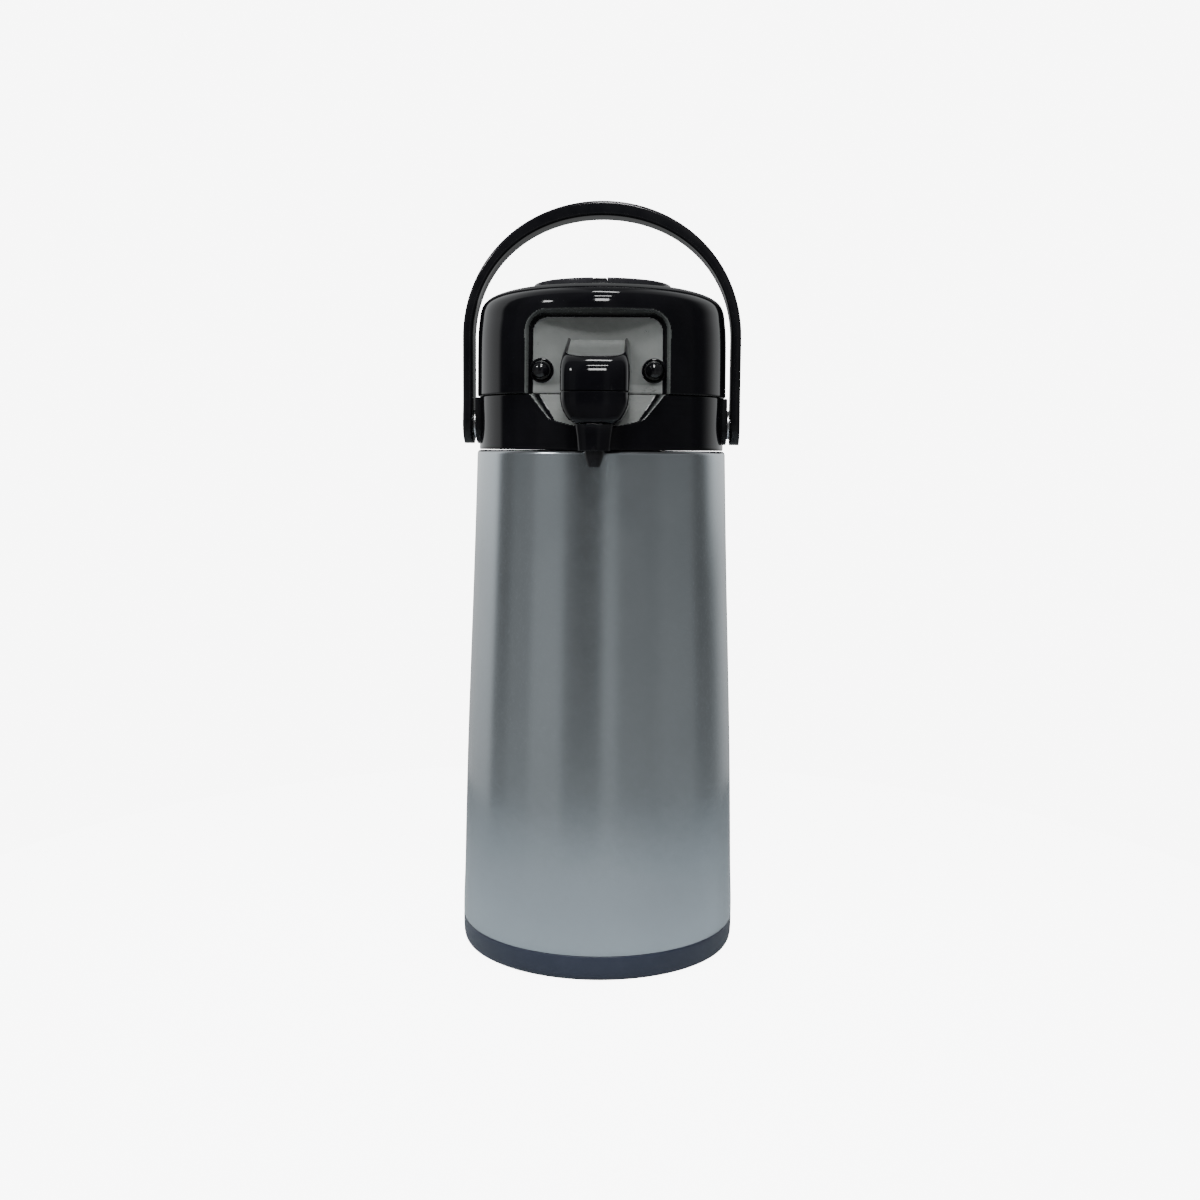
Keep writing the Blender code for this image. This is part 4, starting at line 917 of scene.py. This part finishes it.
leg_length = ARCH_Z - (PIVOT_Z - PAD_R)
arch_total = 2 * leg_length + math.pi * 73.0
foot_steps = [PAD_R * (1 - math.cos(math.pi / 2 * k / 16)) for k in range(17)]
stations = foot_steps + steps(PAD_R + 1.2, leg_length, 2.4) + steps(leg_length + 2.4, arch_total / 2, 2.4)
stations = stations + [arch_total - s for s in stations[::-1][1:]]
rings = []
for s in stations:
    centre, normal, thick, half = handle_station(s / arch_total)
    round_r = min(1.7, half * 0.95, thick * 0.8)
    ring = []
    for cx, cy, a0 in ((thick - round_r, half - round_r, 0), (-(thick - round_r), half - round_r, 90),
                       (-(thick - round_r), -(half - round_r), 180), (thick - round_r, -(half - round_r), 270)):
        for k in range(7):
            a = math.radians(a0 + 90 * k / 6)
            out_by, wide = cx + round_r * math.cos(a), cy + round_r * math.sin(a)
            p = centre + normal * out_by + Vector((0, wide, 0))
            ring.append(tuple(p))
    rings.append(ring)
handle = loft("handle_fine", rings, sharp=40)
for side in (-1, 1):
    cut(handle, rod("bore", (side * 66.0, 0, PIVOT_Z), (side * 80.0, 0, PIVOT_Z), 4.7, seg=64),
        rod("counterbore", (side * 73.8, 0, PIVOT_Z), (side * 80.0, 0, PIVOT_Z), 5.8, seg=64))
place(handle, "handle", "handle_black", HANDLE, "handle")
for side, word in ((-1, "left"), (1, "right")):
    bush_line = rounded([(2.9, 69.3), (7.8, 69.3), (7.8, 70.4), (4.4, 70.4), (4.4, 73.7), (2.9, 73.7)], 0.25, 3)
    bush = turned("pivot_bush_fine_" + word, bush_line, 72)
    turn_to(bush, (0, 0, PIVOT_Z), (side, 0, 0))
    place(bush, "handle_bushes", "steel", STEEL, "pivot_bush_" + word)
    pin_line = [(0.0, 62.0), (2.6, 62.0), (2.6, 74.1), (5.2, 74.1), (5.4, 74.35), (5.35, 74.8), (4.9, 75.25), (3.6, 75.52), (2.0, 75.6), (0.0, 75.6)]
    piece = turned("handle_pin_fine_" + word, pin_line, 64)
    turn_to(piece, (0, 0, PIVOT_Z), (side, 0, 0))
    cut(piece, block("slot", (min(side * 74.9, side * 77.0), -0.5, PIVOT_Z - 3.6), (max(side * 74.9, side * 77.0), 0.5, PIVOT_Z + 3.6)))
    place(piece, "pot", "steel", STEEL, "handle_pin_" + word)

# ---------------------------------------------------------------- studio
bpy.ops.mesh.primitive_circle_add(vertices=96, radius=0.43, fill_type="NGON", location=(0, 0, -0.0002))
floor = bpy.context.object
floor.name = "studio_floor"
floor_mat = bpy.data.materials.new("studio_floor")
floor_mat.use_nodes = True
tree = floor_mat.node_tree
tree.nodes.clear()
out = tree.nodes.new("ShaderNodeOutputMaterial")
diffuse = tree.nodes.new("ShaderNodeBsdfDiffuse")
# the floor colour is lighter round the pot and darker outward: a painted pool of light, under the even glow that camera
# rays see
spot = tree.nodes.new("ShaderNodeTexCoord")
reach = tree.nodes.new("ShaderNodeVectorMath")
reach.operation = "LENGTH"
tree.links.new(spot.outputs["Object"], reach.inputs[0])
painted_pool_falloff = tree.nodes.new("ShaderNodeMapRange")
painted_pool_falloff.inputs["From Min"].default_value = 0.12
painted_pool_falloff.inputs["From Max"].default_value = 0.42
tree.links.new(reach.outputs["Value"], painted_pool_falloff.inputs["Value"])
painted_pool_colour = tree.nodes.new("ShaderNodeMix")
painted_pool_colour.data_type = "RGBA"
painted_pool_colour.inputs[6].default_value = (0.37, 0.405, 0.43, 1)
painted_pool_colour.inputs[7].default_value = (0.19, 0.205, 0.215, 1)
tree.links.new(painted_pool_falloff.outputs["Result"], painted_pool_colour.inputs["Factor"])
tree.links.new(painted_pool_colour.outputs[2], diffuse.inputs["Color"])
glow = tree.nodes.new("ShaderNodeEmission")
path = tree.nodes.new("ShaderNodeLightPath")
times = tree.nodes.new("ShaderNodeMath")
times.operation = "MULTIPLY"
times.inputs[1].default_value = 8.0
tree.links.new(path.outputs["Is Camera Ray"], times.inputs[0])
tree.links.new(times.outputs["Value"], glow.inputs["Strength"])
add = tree.nodes.new("ShaderNodeAddShader")
tree.links.new(diffuse.outputs["BSDF"], add.inputs[0])
tree.links.new(glow.outputs["Emission"], add.inputs[1])
tree.links.new(add.outputs["Shader"], out.inputs["Surface"])
floor.data.materials.append(floor_mat)

world = bpy.data.worlds.new("studio")
bpy.context.scene.world = world
world.use_nodes = True
tree = world.node_tree
tree.nodes.clear()
link = tree.links.new


def w_node(kind, **values):
    made = tree.nodes.new(kind)
    for key, value in values.items():
        setattr(made, key, value)
    return made


def w_math(operation, a, b=None, c=None):
    made = w_node("ShaderNodeMath", operation=operation)
    for i, v in enumerate((a, b, c)):
        if v is None:
            continue
        if isinstance(v, (int, float)):
            made.inputs[i].default_value = v
        else:
            link(v, made.inputs[i])
    return made.outputs[0]


def w_range(value, lo, hi, out_lo, out_hi):
    made = w_node("ShaderNodeMapRange", interpolation_type="SMOOTHSTEP")
    made.inputs["From Min"].default_value = lo
    made.inputs["From Max"].default_value = hi
    made.inputs["To Min"].default_value = out_lo
    made.inputs["To Max"].default_value = out_hi
    link(value, made.inputs["Value"])
    return made.outputs["Result"]


SIDE_LEFT = 0.85
SIDE_RIGHT = 0.80
FRONT_LEVEL = 0.075
where = w_node("ShaderNodeTexCoord")
axes = w_node("ShaderNodeSeparateXYZ")
link(where.outputs["Generated"], axes.inputs[0])
dx, dy, dz = axes.outputs
turn = w_math("ARCTAN2", dx, w_math("MULTIPLY", dy, -1.0))        # 0 towards the spout's side, + to +X


def band(start, full, fade, end, amount):
    """A vertical strip of the surroundings between two azimuths in degrees."""
    rise = w_range(turn, math.radians(start), math.radians(full), 0.0, amount)
    return w_math("MULTIPLY", rise, w_range(turn, math.radians(fade), math.radians(end), 1.0, 0.0))


def total(values):
    out = values[0]
    for value in values[1:]:
        out = w_math("ADD", out, value)
    return out


low = w_range(dz, -0.07, 0.015, 1.0, 0.0)
high = w_math("SUBTRACT", 1.0, low)
right = w_math("ADD", w_math("MULTIPLY", w_range(turn, math.radians(106), math.radians(133), 0.0, SIDE_RIGHT), high),
               w_math("MULTIPLY", w_range(turn, math.radians(113), math.radians(150), 0.0, SIDE_RIGHT), low))
sides = w_math("ADD", w_range(w_math("MULTIPLY", turn, -1.0), math.radians(101), math.radians(108), 0.0, SIDE_LEFT), right)
rear = w_range(w_math("ABSOLUTE", turn), math.radians(161), math.radians(171), 1.0, 0.10)
sides = w_math("MULTIPLY", sides, rear)
strips = total([band(-89, -80, -60, -56, 0.10), band(-62, -56, -33, -26, 0.23), band(1, 7, 13, 22, 0.22),
                band(14, 24, 42, 60, 0.07), band(44, 62, 90, 99, 0.11)])
depth = w_range(dz, -0.26, -0.05, 0.0, 1.0)                       # 0 far below the horizon
notch = w_math("MULTIPLY", band(-25, -14, -3, 8, 1.0), w_range(dz, -0.13, -0.02, 0.0, 0.80))
level = total([w_math("MULTIPLY", w_math("MULTIPLY", sides, w_range(dz, 0.55, 0.95, 1.0, 0.30)),
                      w_math("MULTIPLY", w_math("MULTIPLY_ADD", low, -0.60, 1.40), w_math("MULTIPLY_ADD", depth, 0.55, 0.45))),
               w_math("MULTIPLY", w_math("MULTIPLY", strips, w_range(dz, 0.30, 0.80, 1.0, 0.35)),
                      w_math("MULTIPLY", w_math("MULTIPLY_ADD", low, 0.45, 0.85), w_math("MULTIPLY_ADD", depth, 0.70, 0.30))),
               w_math("MULTIPLY_ADD", depth, -0.135, 0.135),
               w_math("MULTIPLY_ADD", low, 0.035, w_range(dz, 0.15, 0.9, FRONT_LEVEL, 0.20))])
level = w_math("MULTIPLY", level, w_math("SUBTRACT", 1.0, notch))
ray = w_node("ShaderNodeLightPath")
studio = w_node("ShaderNodeBackground")
studio.inputs["Color"].default_value = (0.97, 0.99, 1.0, 1)
link(level, studio.inputs["Strength"])
seen = w_node("ShaderNodeBackground")
seen.inputs["Color"].default_value = (1, 1, 1, 1)
seen.inputs["Strength"].default_value = 8.0
mix = w_node("ShaderNodeMixShader")
link(ray.outputs["Is Camera Ray"], mix.inputs[0])
link(studio.outputs[0], mix.inputs[1])
link(seen.outputs[0], mix.inputs[2])
final = w_node("ShaderNodeOutputWorld")
link(mix.outputs[0], final.inputs["Surface"])


def area(name, at, towards, size, power, colour=(1, 1, 1)):
    data = bpy.data.lights.new(name, "AREA")
    data.shape = "RECTANGLE"
    data.size, data.size_y = size
    data.energy = power
    data.color = colour
    obj = bpy.data.objects.new(name, data)
    bpy.context.scene.collection.objects.link(obj)
    obj.matrix_world = Matrix.Translation(at) @ (Vector(at) - Vector(towards)).to_track_quat("Z", "Y").to_matrix().to_4x4()
    return obj


area("overhead_front", (0.03, -0.60, 1.36), (0.0, -0.05, 0.3), (0.24, 0.07), 4.5)
area("overhead_near", (0.03, -0.90, 1.08), (0.0, -0.05, 0.3), (0.22, 0.15), 6.5)
area("overhead_back", (0.03, 0.12, 1.60), (0.0, 0.0, 0.3), (0.26, 0.10), 4.0)
area("overhead_left", (-0.80, -0.60, 0.96), (0.0, -0.05, 0.3), (0.16, 0.13), 4.0)
soft = area("front_left_high", (-0.95, -1.05, 1.65), (0.0, 0.0, 0.2), (0.5, 0.5), 26.0)
soft.visible_glossy = False
soft = area("front_right_high", (1.05, -1.10, 1.75), (0.0, 0.0, 0.2), (0.5, 0.5), 22.0)
soft.visible_glossy = False
soft = area("front_fill", (0.0, -0.92, 0.30), (0.0, -0.05, 0.33), (0.3, 0.2), 2.0)
soft.visible_glossy = False

# ---------------------------------------------------------------- camera
FOCAL = 1378.0        # in pixels of a 1200 pixel frame
DISTANCE = 0.771
HEIGHT = 0.2791
PITCH = math.radians(6.345)
ROLL = math.radians(0.469)
AZIMUTH = math.radians(2.3)
data = bpy.data.cameras.new("camera")
data.sensor_width = 36.0
data.lens = FOCAL / 1200.0 * 36.0
data.clip_start = 0.01
data.clip_end = 60.0
camera = bpy.data.objects.new("camera", data)
bpy.context.scene.collection.objects.link(camera)
camera.matrix_world = (Matrix.Translation((DISTANCE * math.sin(AZIMUTH), -DISTANCE * math.cos(AZIMUTH), HEIGHT))
                       @ Matrix.Rotation(AZIMUTH, 4, "Z") @ Matrix.Rotation(math.pi / 2 - PITCH, 4, "X")
                       @ Matrix.Rotation(ROLL, 4, "Z"))
bpy.context.scene.camera = camera

bpy.context.view_layer.update()
